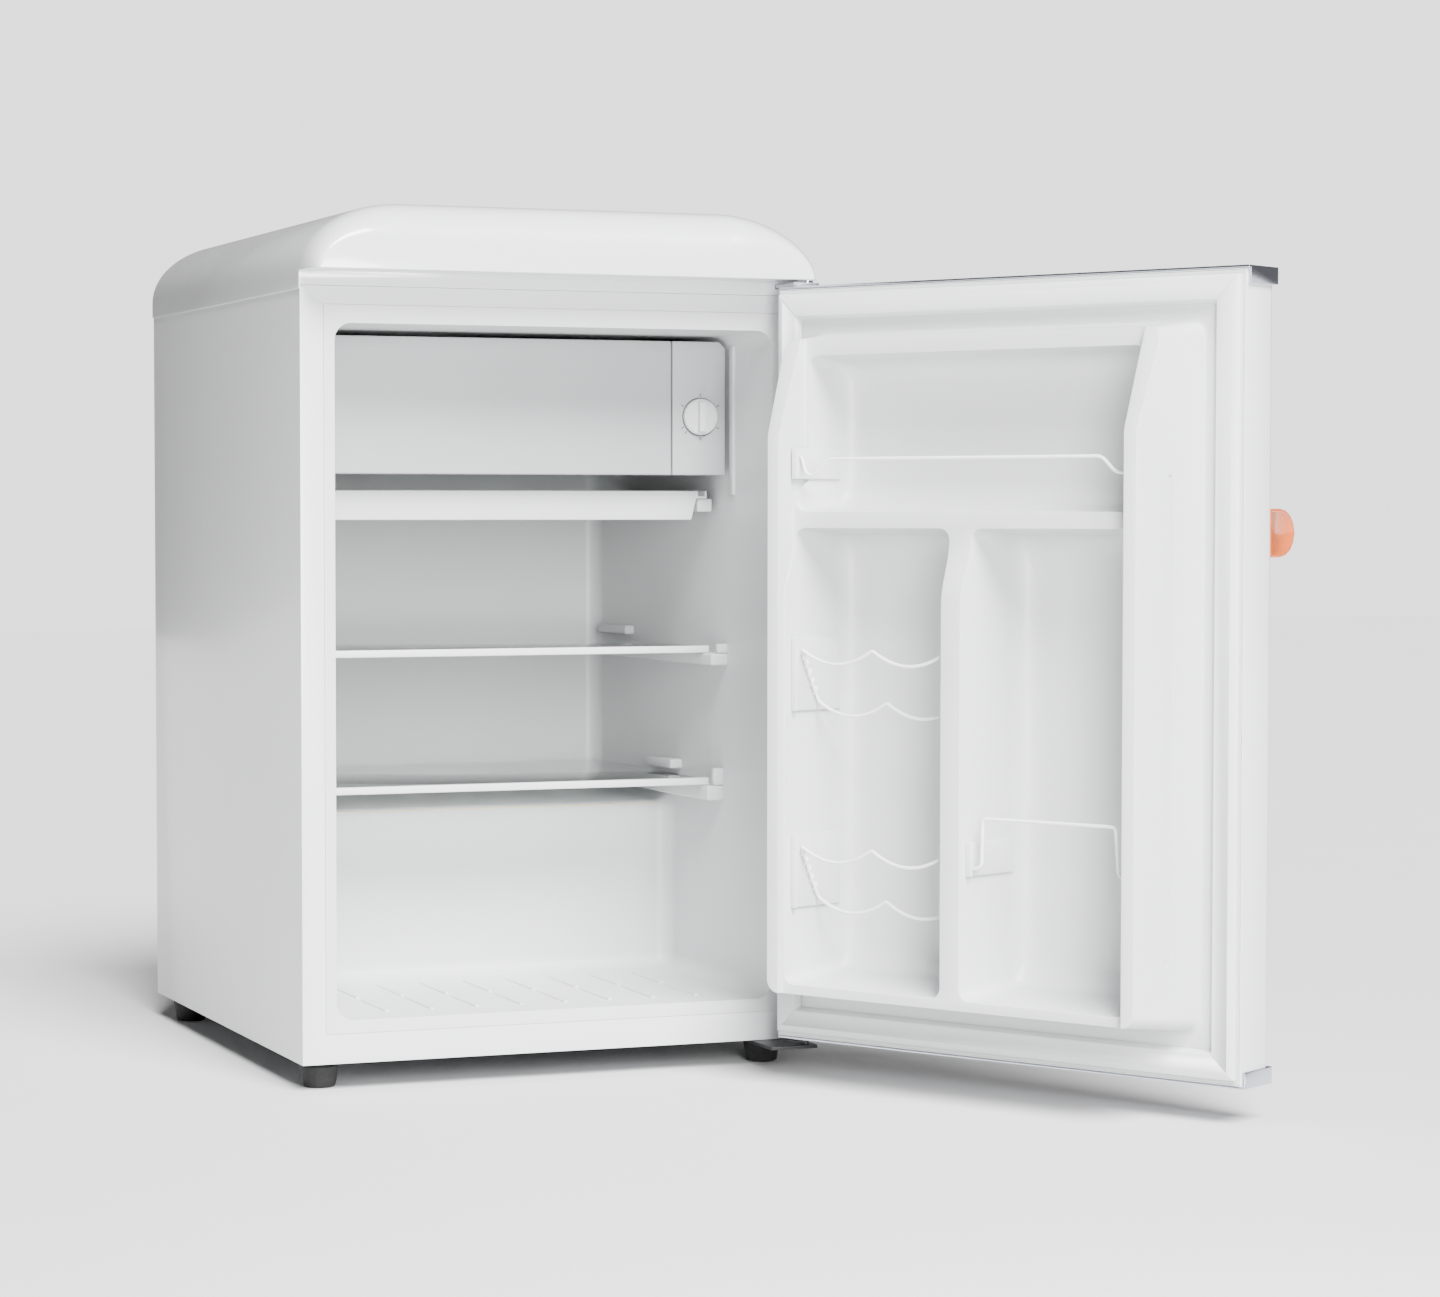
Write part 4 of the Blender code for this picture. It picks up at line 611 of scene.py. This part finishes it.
def compartment(grow, front):
    """The food compartment as a solid, its walls moved out by grow."""
    def side_view(inset):
        inset -= grow
        rise = TAPER / 2
        low = ROOM_BOTTOM + inset
        high = ROOM_TOP - inset
        step = STEP_FRONT - inset
        back = ROOM_BACK - inset
        points = [(front, low), (step, low + rise * step / ROOM_BACK),
                  (step, STEP_TOP + inset), (back, STEP_TOP + inset), (back, high - rise), (front, high)]
        radius = max(LINER_RADIUS - inset, 2 * MM)
        return bent_corners(points, (0, radius, max(STEP_RADIUS + inset, MM), radius, radius, 0))

    loops = []
    radius = LINER_RADIUS + grow
    steps = 7
    for side in (-1, 1):
        for i in range(steps + 1):
            turn = math.radians(90 * (i if side < 0 else steps - i) / steps)
            x = side * (ROOM_HALF + grow - radius + radius * math.cos(turn))
            outline = side_view(radius * (1 - math.sin(turn)))
            loops.append([(x * (1 - TAPER / ROOM_HALF * y / ROOM_BACK), y, z) for y, z in outline])
    return skinned(loops)


def soft_block(lo, hi, width):
    return soften(block(lo, hi), width, 3)


def together(shapes):
    """Several closed shapes in one bmesh."""
    whole = bmesh.new()
    for shape in shapes:
        mesh = bpy.data.meshes.new("shape")
        shape.to_mesh(mesh)
        shape.free()
        whole.from_mesh(mesh)
        bpy.data.meshes.remove(mesh)
    return whole


def wall_at(y):
    """Half width of the compartment at a depth."""
    return ROOM_HALF - TAPER * y / ROOM_BACK


def liner_fittings():
    """Ledges with their stops and hold-downs, the ribs beside the freezer, and the ribs of the floor.

    A row of ledges has its shelf, and in millimetres: its front, height and stop, and the gap over the glass.
    """
    shelf_half = ROOM_HALF - SHELF_INSET
    shapes = []
    ledges = (("upper", 98, 11, 9, ROOM_BACK - 95 * MM, ROOM_BACK - 20 * MM, 5),
              ("lower", 107, 14, 16, STEP_FRONT - 30 * MM, STEP_FRONT + 33 * MM, 4))
    for side in (-1, 1):
        for name, front, height, stop, hold_from, hold_to, above in ledges:
            top = extent(name + "_shelf_edge", CABINET)[0].z - GAP
            over = extent(name + "_shelf_glass", CABINET)[1].z + above * MM
            front *= MM
            spans = ((shelf_half - 5.5 * MM, front, top - height * MM, ROOM_BACK - 10 * MM, top),
                     (shelf_half + MM, front, top + GAP / 2, front + 7 * MM, top + stop * MM),
                     (shelf_half - 3 * MM, hold_from, over, hold_to, over + 9 * MM))
            for inner, near, low, far, high in spans:
                xs = sorted((side * inner, side * (wall_at(near) + LINER_WALL / 2)))
                shapes.append(soft_block((xs[0], near, low), (xs[1], far, high), 1.8 * MM))
        rib_back = FREEZER_FRONT - 3 * MM
        rib = sorted((side * (wall_at(rib_back) - 2.5 * MM), side * (wall_at(rib_back) + MM)))
        tray_top = extent("drip_tray", CABINET)[1].z
        shapes.append(soft_block((rib[0], rib_back - 9 * MM, tray_top - 4 * MM),
                                 (rib[1], rib_back, ROOM_TOP - 10 * MM), 1.2 * MM))
    for i in range(FLOOR_RIBS):
        x = (i - (FLOOR_RIBS - 1) / 2) * RIB_PITCH
        for near, far in RIB_ROWS:
            floor = ROOM_BOTTOM + TAPER / 2 * near / ROOM_BACK
            shapes.append(soft_block((x - 2 * MM, near, floor - MM), (x + 2 * MM, far, floor + 1.6 * MM),
                                     0.8 * MM))
    return shapes


def make_liner():
    """Formed liner: a border that lies behind the steel flange, a rounded mouth and soft inner corners."""
    edge = HALF - FLANGE - GAP
    plate = block((-edge, 0, BOTTOM_RAIL + GAP), (edge, LINER_WALL, HEIGHT - TOP_FLANGE - GAP))
    body = joined(plate, compartment(LINER_WALL, MM))
    body = cleaned(carved(body, compartment(0, -MM)))

    def on_mouth(e):
        ends = [v.co for v in e.verts]
        low, high = BOTTOM_RAIL + 2 * MM, HEIGHT - TOP_FLANGE - 2.6 * MM
        return all(abs(p.y) < 0.05 * MM and abs(p.x) < edge - 2 * MM and low < p.z < high for p in ends)

    body = soften(body, MOUTH_ROUND, 5, 50, on_mouth)
    whole = together([body] + liner_fittings())
    piece("inner_liner_formed", whole, FORMED, "cabinet", ["inner_liner"], CABINET,
          angle=42)


# ============================================================ inner face of the door

DOOR_WIDTH = 2 * HALF - 0.7 * MM
RELIEF_SIDES = (38.3 * MM, DOOR_WIDTH - 38.3 * MM)
OUTER_DRAFT = 0.143
INNER_DRAFT = 0.096
END_DRAFT = 0.114
DYKE_HEIGHT = 84 * MM
DYKE_SLANT = 89 * MM                # length of the slope at the dykes' upper ends
DYKE_END = 50 * MM                  # their height where the slope ends
DIVIDER_HEIGHT = 76 * MM
DIVIDER_BEND = (63 * MM, 11 * MM)   # below the bar: where the divider starts to fall, and ends
HEAD_BEND = (12 * MM, 30 * MM)      # above the bar: where its ridge falls to the head's
BAR_HEIGHT = 62 * MM
HEAD_HEIGHT = 45 * MM
POCKET_BACK = 10 * MM
POCKET_CORNER = 10 * MM
POCKET_FILLET = 20 * MM
DYKE_INNER = OUTER_DRAFT * DYKE_HEIGHT + 12 * MM
RELIEF_LOW = ROOM_BOTTOM + 13.5 * MM
RELIEF_HIGH = ROOM_TOP - 7 * MM
BAR = (RELIEF_HIGH - 169 * MM, RELIEF_HIGH - 155 * MM)
KERB_TOP = RELIEF_LOW + 17 * MM
GROOVE_ENDS = (107 * MM, 507 * MM)  # heights of the upright groove in the free side's dyke
DIVIDER_MIDDLE = DOOR_WIDTH / 2 + 0.6 * MM
DIVIDER = (DIVIDER_MIDDLE - 9.75 * MM, DIVIDER_MIDDLE + 9.75 * MM)


def door_point(u, v, z):
    """A point on the shut door: u from its hinge side, v outwards from its inner face."""
    return (HALF - u, -DOOR_GAP - v, z)


def door_outline(v, u, z, corner, steps=7):
    return [door_point(a, v, b) for a, b in rounded(u[0], u[1], z[0], z[1], corner, steps)]


def pocket(left, right, low, high, grow, back):
    """One compartment of the door as a solid. Each edge is its place and its ridge's height."""
    def edges(v, inset):
        def lean(edge):
            return INNER_DRAFT * (v + edge[1]) - grow + inset
        return ((left[0] + lean(left), right[0] - lean(right)), (low[0] + lean(low), high[0] - lean(high)))

    loops = []
    for v in (-DYKE_HEIGHT - 6 * MM, back - POCKET_FILLET):
        loops.append(door_outline(v, *edges(v, 0), POCKET_CORNER))
    steps = 7
    for i in range(1, steps + 1):
        turn = math.radians(90 * i / steps)
        v = back - POCKET_FILLET * (1 - math.sin(turn))
        inset = POCKET_FILLET * (1 - math.cos(turn))
        loops.append(door_outline(v, *edges(v, inset), POCKET_CORNER + inset * 0.8))
    return skinned(loops)


def pockets(grow, back):
    left = (RELIEF_SIDES[0] + DYKE_INNER, DYKE_HEIGHT)
    right = (RELIEF_SIDES[1] - DYKE_INNER, DYKE_HEIGHT)
    kerb = (KERB_TOP, DIVIDER_HEIGHT)
    under_bar = (BAR[0], BAR_HEIGHT)
    over_bar, head = (BAR[1], BAR_HEIGHT), (RELIEF_HIGH - 20 * MM, HEAD_HEIGHT)
    return [pocket(left, right, over_bar, head, grow, back),
            pocket(left, (DIVIDER[0], DIVIDER_HEIGHT), kerb, under_bar, grow, back),
            pocket((DIVIDER[1], DIVIDER_HEIGHT), right, kerb, under_bar, grow, back)]


def side_prism(outline, u):
    """A (v, z) outline drawn out along the door's width."""
    return skinned([[door_point(across, v, z) for v, z in outline] for across in u])


def ridge_cut(grow):
    """Clears what stands in front of the divider, the shelf and the head, between the two dykes."""
    front = -DYKE_HEIGHT - 8 * MM
    divider = -DIVIDER_HEIGHT + grow
    bar = -BAR_HEIGHT + grow
    head = -HEAD_HEIGHT + grow
    bend_low, bend_high = BAR[0] - DIVIDER_BEND[0], BAR[0] - DIVIDER_BEND[1]
    outline = [(front, 0), (divider, 0), (divider, bend_low)]
    steps = 10
    for i in range(1, steps + 1):
        t = i / steps
        eased_in = t * t * (3 - 2 * t)
        outline.append((divider + (bar - divider) * eased_in, bend_low + (bend_high - bend_low) * t))
    outline.append((bar, BAR[1] + HEAD_BEND[0]))
    for i in range(1, steps + 1):
        t = i / steps
        eased_in = t * t * (3 - 2 * t)
        rise = HEAD_BEND[0] + (HEAD_BEND[1] - HEAD_BEND[0]) * t
        outline.append((bar + (head - bar) * eased_in, BAR[1] + rise))
    outline += [(head, HEIGHT + 10 * MM), (front, HEIGHT + 10 * MM)]
    inner = DYKE_INNER - grow
    return side_prism(outline, (RELIEF_SIDES[0] + inner, RELIEF_SIDES[1] - inner))


def slant_cut(grow):
    """Slopes the tops of the dykes back towards the door."""
    front = -DYKE_HEIGHT - 8 * MM
    start, end = RELIEF_HIGH - DYKE_SLANT, RELIEF_HIGH
    rise = (DYKE_HEIGHT - DYKE_END) / (end - start)
    shift = grow * math.sqrt(1 + rise * rise)
    over = 20 * MM
    outline = [(front + shift, start - (-DYKE_HEIGHT - front) / rise),
               (-DYKE_END + rise * over + shift, end + over), (front + shift, end + over)]
    return side_prism(outline, (0, DOOR_WIDTH))


def relief(grow, back):
    """Raised part of the door liner as a solid, flared where it meets the flange."""
    loops = []
    flare = 4 * MM
    for v, out in ((-DYKE_HEIGHT + grow, 0), (-flare, 0), (-flare * 0.5, 0.13 * flare),
                   (-flare * 0.13, 0.5 * flare), (0, flare), (back, flare)):
        lean = OUTER_DRAFT * -min(v, 0) + grow - (out if grow == 0 else 0)
        rise = END_DRAFT * -min(v, 0) + grow - (out if grow == 0 else 0)
        loops.append(door_outline(v, (RELIEF_SIDES[0] + lean, RELIEF_SIDES[1] - lean),
                                  (RELIEF_LOW + rise, RELIEF_HIGH - rise), 12 * MM))
    return carved(skinned(loops), ridge_cut(grow), slant_cut(grow))


def make_door_liner():
    """Formed sheet with two tall dykes, a shelf, an upright divider and three pockets with soft corners."""
    low, high = extent("door_liner", DOOR)
    plate = block((low.x, -DOOR_GAP - LINER_WALL, low.z), (high.x, -DOOR_GAP, high.z))
    body = joined(plate, relief(0, LINER_WALL))
    body = joined(body, pocket_back())
    body = carved(body, *pockets(0, POCKET_BACK))
    groove_v = -DYKE_HEIGHT / 2
    groove_u = RELIEF_SIDES[1] - OUTER_DRAFT * DYKE_HEIGHT / 2
    outline = rounded(groove_v - 2.5 * MM, groove_v + 2.5 * MM, *GROOVE_ENDS, 2.4 * MM)
    groove = side_prism(outline, (groove_u - 1.1 * MM, groove_u + 20 * MM))
    body = carved(body, groove)
    body = soften(cleaned(body), 3.2 * MM, 4, sharper=38, chosen=door_ridge)
    piece("door_liner_formed", body, FORMED, "door", ["door_liner"], DOOR, angle=45)


def pocket_back():
    """The material behind the pockets, where they reach into the door."""
    span = (RELIEF_SIDES[0] + 26 * MM, RELIEF_SIDES[1] - 26 * MM)
    ends = (RELIEF_LOW + 18 * MM, RELIEF_HIGH - 22 * MM)
    return skinned([door_outline(v, span, ends, POCKET_FILLET) for v in (0, POCKET_BACK + LINER_WALL)])


def door_ridge(edge):
    """Whether an edge stands clear of the door's flange, on a ridge."""
    ends = [-DOOR_GAP - v.co.y for v in edge.verts]
    return max(ends) < -12 * MM and not near_groove(edge)


def near_groove(edge):
    middle = (edge.verts[0].co + edge.verts[1].co) / 2
    depth = DYKE_HEIGHT / 2 - DOOR_GAP - middle.y
    return abs(depth) < 5 * MM and HALF - middle.x > RELIEF_SIDES[1] - 12 * MM


# ============================================================ thermostat knob

def turned(profile, centre, steps=64):
    """A round piece about the y axis, spun from (radius, y) points, its open ends filled."""
    bm = bmesh.new()
    verts = [bm.verts.new((centre[0] + radius, y, centre[1])) for radius, y in profile]
    edges = [bm.edges.new(pair) for pair in zip(verts, verts[1:])]
    bmesh.ops.spin(bm, geom=verts + edges, cent=(centre[0], 0, centre[1]), axis=(0, 1, 0), angle=math.tau,
                   steps=steps)
    bmesh.ops.remove_doubles(bm, verts=bm.verts, dist=GAP / 100)
    bmesh.ops.holes_fill(bm, edges=bm.edges, sides=0)
    bmesh.ops.recalc_face_normals(bm, faces=bm.faces)
    return bm


KNOB_SKIRT = 3.5 * MM               # height of the knob's round part
KNOB_TEETH = 36
KNOB_TICKS = (30, 90, 150, 210, 225, 270, 330)      # degrees round the knob


def make_knob():
    """Round knob with a knurled rim and an upright bar grip, and the marks round it on the housing."""
    low, high = extent("thermostat_knob", CABINET)
    centre = ((low.x + high.x) / 2, (low.z + high.z) / 2)
    radius = (high.x - low.x) / 2
    face = high.y
    skirt = face - KNOB_SKIRT
    disc = turned([(radius - 0.6 * MM, face), (radius, face - 0.6 * MM), (radius, skirt + MM),
                   (radius - MM, skirt), (radius - 2.6 * MM, skirt), (radius - 3 * MM, skirt + 0.7 * MM)],
                  centre)
    teeth = []
    middle = Matrix.Translation((centre[0], 0, centre[1]))
    for i in range(KNOB_TEETH):
        turn = middle @ Matrix.Rotation(math.tau * i / KNOB_TEETH, 4, "Y")
        tooth = soft_block((radius - 2.4 * MM, skirt - 0.5 * MM, -0.55 * MM),
                           (radius - 1.0 * MM, skirt + 0.5 * MM, 0.55 * MM), 0.2 * MM)
        bmesh.ops.transform(tooth, matrix=turn, verts=tooth.verts)
        teeth.append(tooth)
    half = 3.4 * MM
    grip = soft_block((centre[0] - half, low.y, centre[1] - radius + 2.6 * MM),
                      (centre[0] + half, skirt + MM, centre[1] + radius - 2.6 * MM), 0.9 * MM)
    line = block((centre[0] - 0.4 * MM, low.y - MM, centre[1] + 2 * MM),
                 (centre[0] + 0.4 * MM, low.y + 0.5 * MM, centre[1] + radius - 4 * MM))
    whole = together([disc, carved(grip, line)] + teeth)
    piece("thermostat_knob_turned", whole, MOULDED, "thermostat_knob",
          ["thermostat_knob"], CABINET)
    plate = extent("thermostat_housing", CABINET)[0].y
    proud, sunk = plate - 0.25 * MM, plate + 0.1 * MM
    inner, outer = radius + 0.4 * MM, radius + 1.2 * MM
    marks = [turned([(inner, sunk), (inner, proud), (outer, proud), (outer, sunk), (inner, sunk)], centre)]
    for degrees in KNOB_TICKS:
        turn = middle @ Matrix.Rotation(-math.radians(degrees), 4, "Y")
        tick = block((radius + 2.2 * MM, proud, -0.35 * MM), (radius + 5 * MM, sunk, 0.35 * MM))
        bmesh.ops.transform(tick, matrix=turn, verts=tick.verts)
        marks.append(tick)
    piece("thermostat_marks", together(marks), NYLON, "cabinet", [], CABINET)


# ============================================================ wires on the door

WIRE_RADIUS = 1.5 * MM
WIRE_OFF = 2 * MM + WIRE_RADIUS + 2 * GAP
RACK_FRONT = 60 * MM
RACK_BACK = 38 * MM
RACK_DROP = 45.5 * MM               # the back row hangs this much lower
RACK_SAG = 12.5 * MM                # depth of each scallop


def wall_u(side, v):
    """u of a pocket's side wall at a depth; side names the wall."""
    return {
        "hinge": RELIEF_SIDES[0] + DYKE_INNER + INNER_DRAFT * (v + DYKE_HEIGHT),
        "free": RELIEF_SIDES[1] - DYKE_INNER - INNER_DRAFT * (v + DYKE_HEIGHT),
        "divider_hinge": DIVIDER[0] - INNER_DRAFT * (v + DIVIDER_HEIGHT),
        "divider_free": DIVIDER[1] + INNER_DRAFT * (v + DIVIDER_HEIGHT),
    }[side]


def make_rack(name):
    """Endless wire with two scallops in front and two lower behind, its hinge end twisted double."""
    front = extent(name, DOOR)[1].z - WIRE_RADIUS
    spans = 40
    rows = []
    for v, z in ((-RACK_FRONT, front), (-RACK_BACK, front - RACK_DROP)):
        start = wall_u("hinge", v) + WIRE_OFF + GAP
        end = wall_u("divider_hinge", v) - WIRE_OFF - GAP
        row = []
        for i in range(spans + 1):
            share = i / spans
            arc = 2 * share % 1
            row.append(door_point(start + (end - start) * share, v, z - 4 * arc * (1 - arc) * RACK_SAG))
        rows.append(row)
    tube(name + "_wire", rows[0] + rows[1][::-1], WIRE_RADIUS, WIRE, "door", [name], DOOR,
         cyclic=True, smooth=2)
    top, foot = Vector(rows[0][0]), Vector(rows[1][0])
    along = (foot - top).normalized()
    side = along.cross(Vector((1, 0, 0))).normalized()
    other = along.cross(side)
    twist = []
    turns, steps = 5, 14
    for i in range(turns * steps + 1):
        turn = math.tau * i / steps
        at = top.lerp(foot, 0.08 + 0.84 * i / (turns * steps))
        twist.append(at + (side * math.cos(turn) + other * math.sin(turn)) * 2.1 * MM)
    tube(name + "_twist", twist, 0.8 * MM, WIRE, "door", [], DOOR, smooth=2)


def eased(points, radius, steps=6):
    """An open route with its bends rounded."""
    route = [Vector(points[0])]
    for before, corner, after in zip(points, points[1:], points[2:]):
        before, corner, after = Vector(before), Vector(corner), Vector(after)
        near = corner + (before - corner).normalized() * min(radius, (before - corner).length / 2)
        far = corner + (after - corner).normalized() * min(radius, (after - corner).length / 2)
        for i in range(steps + 1):
            t = i / steps
            route.append(near * (1 - t) ** 2 + corner * 2 * t * (1 - t) + far * t * t)
    return route + [Vector(points[-1])]


def make_guards():
    """Guard wire across the top compartment, and the raised one in front of the tall bottles."""
    z = extent("top_guard_wire", DOOR)[1].z - WIRE_RADIUS - 2.5 * MM
    v = -RACK_FRONT
    start, end = wall_u("hinge", v) + WIRE_OFF, wall_u("free", v) - WIRE_OFF
    half = [(0, 2.5 * MM), (5.5 * MM, -13.5 * MM), (15 * MM, -13.5 * MM), (29 * MM, 0)]
    route = [door_point(start + a, v, z + b) for a, b in half]
    route += [door_point(end - a, v, z + b) for a, b in reversed(half)]
    tube("top_guard_rod", eased(route, 5 * MM), WIRE_RADIUS, WIRE, "door",
         ["top_guard_wire"], DOOR, smooth=1)
    top = extent("bottle_guard_wire", DOOR)[1].z - WIRE_RADIUS
    foot = top - 40 * MM
    v = -RACK_FRONT - MM
    start, end = wall_u("divider_free", v) + WIRE_OFF, wall_u("free", v) - WIRE_OFF
    route = [door_point(start, v, foot - 3 * MM), door_point(start + 7 * MM, v, foot),
             door_point(start + 8 * MM, v, top), door_point(end - 13 * MM, v, top),
             door_point(end - 10 * MM, v, foot), door_point(end, v, foot - 3 * MM)]
    tube("bottle_guard_rod", eased(route, 5 * MM), WIRE_RADIUS, WIRE, "door",
         ["bottle_guard_wire"], DOOR, smooth=1)


# ============================================================ mitred corners

def mitre(inner, outer, y, depth, width=0.7 * MM):
    """Thin upright cutter along the line between two corners of a frame's face."""
    inner, outer = Vector(inner), Vector(outer)
    along = outer - inner
    cutter = block((-MM, -depth, -width / 2), (along.length + MM, depth, width / 2))
    turn = Matrix.Rotation(-math.atan2(along.y, along.x), 4, "Y")
    bmesh.ops.transform(cutter, matrix=Matrix.Translation((inner.x, y, inner.y)) @ turn, verts=cutter.verts)
    return cutter


def make_shell():
    """Folded steel wrapper, its front border mitred at the corners."""
    shell = node_copy("cabinet_shell", CABINET)
    cutters = [mitre((side * (HALF - FLANGE), HEIGHT - TOP_FLANGE), (side * HALF, HEIGHT), 0, 0.35 * MM)
               for side in (-1, 1)]
    shell = soften(cleaned(carved(shell, *cutters)), 1.2 * MM, 3, 60,
                   lambda e: min(abs(abs(v.co.x) - HALF) for v in e.verts) < 0.1 * MM)
    piece("cabinet_shell_folded", shell, ENAMEL, "cabinet", ["cabinet_shell"],
          CABINET)


GASKET_WIDTH = 23.8 * MM


def make_gasket():
    """Magnetic seal in four lengths, welded at mitred corners."""
    low, high = extent("door_gasket", DOOR)
    seal = soften(node_copy("door_gasket", DOOR), 1.2 * MM)
    cutters = []
    for x, inward in ((low.x, GASKET_WIDTH), (high.x, -GASKET_WIDTH)):
        for z, upward in ((low.z, GASKET_WIDTH), (high.z, -GASKET_WIDTH)):
            cutters.append(mitre((x + inward, z + upward), (x, z), high.y, 0.5 * MM, 0.8 * MM))
    seal = carved(seal, *cutters)
    piece("door_gasket_welded", seal, SEAL, "door", ["door_gasket"], DOOR)


# ============================================================ handle

def make_handle():
    """D-shaped bar with a fine recess round each end face."""
    bar = soften(node_copy("door_handle", DOOR), 0.8 * MM, 3, sharper=30)
    ends = [f for f in bar.faces if abs(f.normal.x) > 0.99 and f.calc_area() > 400 * MM * MM]
    bmesh.ops.inset_region(bar, faces=ends, thickness=2.2 * MM, depth=0)
    bmesh.ops.inset_region(bar, faces=ends, thickness=0.5 * MM, depth=-0.7 * MM)
    piece("door_handle_bar", bar, COPPER, "door", ["door_handle"], DOOR)


make_cap()
make_liner()
make_door_liner()
make_knob()
for rack in ("can_rack_1", "can_rack_2"):
    make_rack(rack)
make_guards()
make_shell()
make_gasket()
make_handle()


# ============================================================ camera, floor and light

def make_camera():
    """Long lens, low and to the left of the front."""
    camera = bpy.data.cameras.new("camera")
    camera.lens = 91.04
    camera.sensor_width = 36
    camera.shift_x = 0.0603
    camera.shift_y = 0.0191
    eye = bpy.data.objects.new("camera", camera)
    bpy.context.scene.collection.objects.link(eye)
    eye.location = CABINET @ Vector((-1103.4 * MM, -3008.7 * MM, 477.3 * MM))
    yaw, pitch = 0.371988, 0.045161
    ahead = Vector((math.sin(yaw) * math.cos(pitch), math.cos(yaw) * math.cos(pitch), -math.sin(pitch)))
    eye.rotation_euler = ahead.to_track_quat("-Z", "Y").to_euler()
    bpy.context.scene.camera = eye


def area_light(name, position, target, size, power):
    lamp = bpy.data.lights.new(name, "AREA")
    lamp.shape = "RECTANGLE"
    lamp.size, lamp.size_y = size
    lamp.energy = power
    light = bpy.data.objects.new(name, lamp)
    bpy.context.scene.collection.objects.link(light)
    light.location = position
    light.rotation_euler = (Vector(target) - Vector(position)).to_track_quat("-Z", "Y").to_euler()


SURROUND = 0.20     # how bright the room is around the object
BACKDROP = 2.2      # how bright the backdrop is behind it
KEY_FROM = (0.02, 0.66, -0.75)      # the way that the sun shines


def make_studio():
    """Pale floor, an even bright surround, a wide soft sun from the front and one lamp to fill."""
    bm = bmesh.new()
    bmesh.ops.create_grid(bm, x_segments=1, y_segments=1, size=12)
    mesh = bpy.data.meshes.new("floor")
    bm.to_mesh(mesh)
    bm.free()
    floor = bpy.data.objects.new("floor", mesh)
    bpy.context.scene.collection.objects.link(floor)
    floor.data.materials.append(studio_floor())
    world = bpy.data.worlds.new("studio")
    world.use_nodes = True
    sky = world.node_tree.nodes["Background"]
    sky.inputs["Color"].default_value = linear("FFFFFF")
    seen = add(world.node_tree, "LightPath").outputs["Is Camera Ray"]
    strength = add(world.node_tree, "MapRange",
                   {"Value": seen, "To Min": SURROUND, "To Max": BACKDROP}).outputs["Result"]
    world.node_tree.links.new(strength, sky.inputs["Strength"])
    bpy.context.scene.world = world
    sun = bpy.data.lights.new("key", "SUN")
    sun.energy = 15.5
    sun.angle = math.radians(32)
    key = bpy.data.objects.new("key", sun)
    bpy.context.scene.collection.objects.link(key)
    key.rotation_euler = Vector(KEY_FROM).to_track_quat("-Z", "Y").to_euler()
    area_light("fill", (-0.33, -2.0, 0.6), (0.2, -0.3, 0.3), (0.5, 0.8), 60)


make_camera()
make_studio()
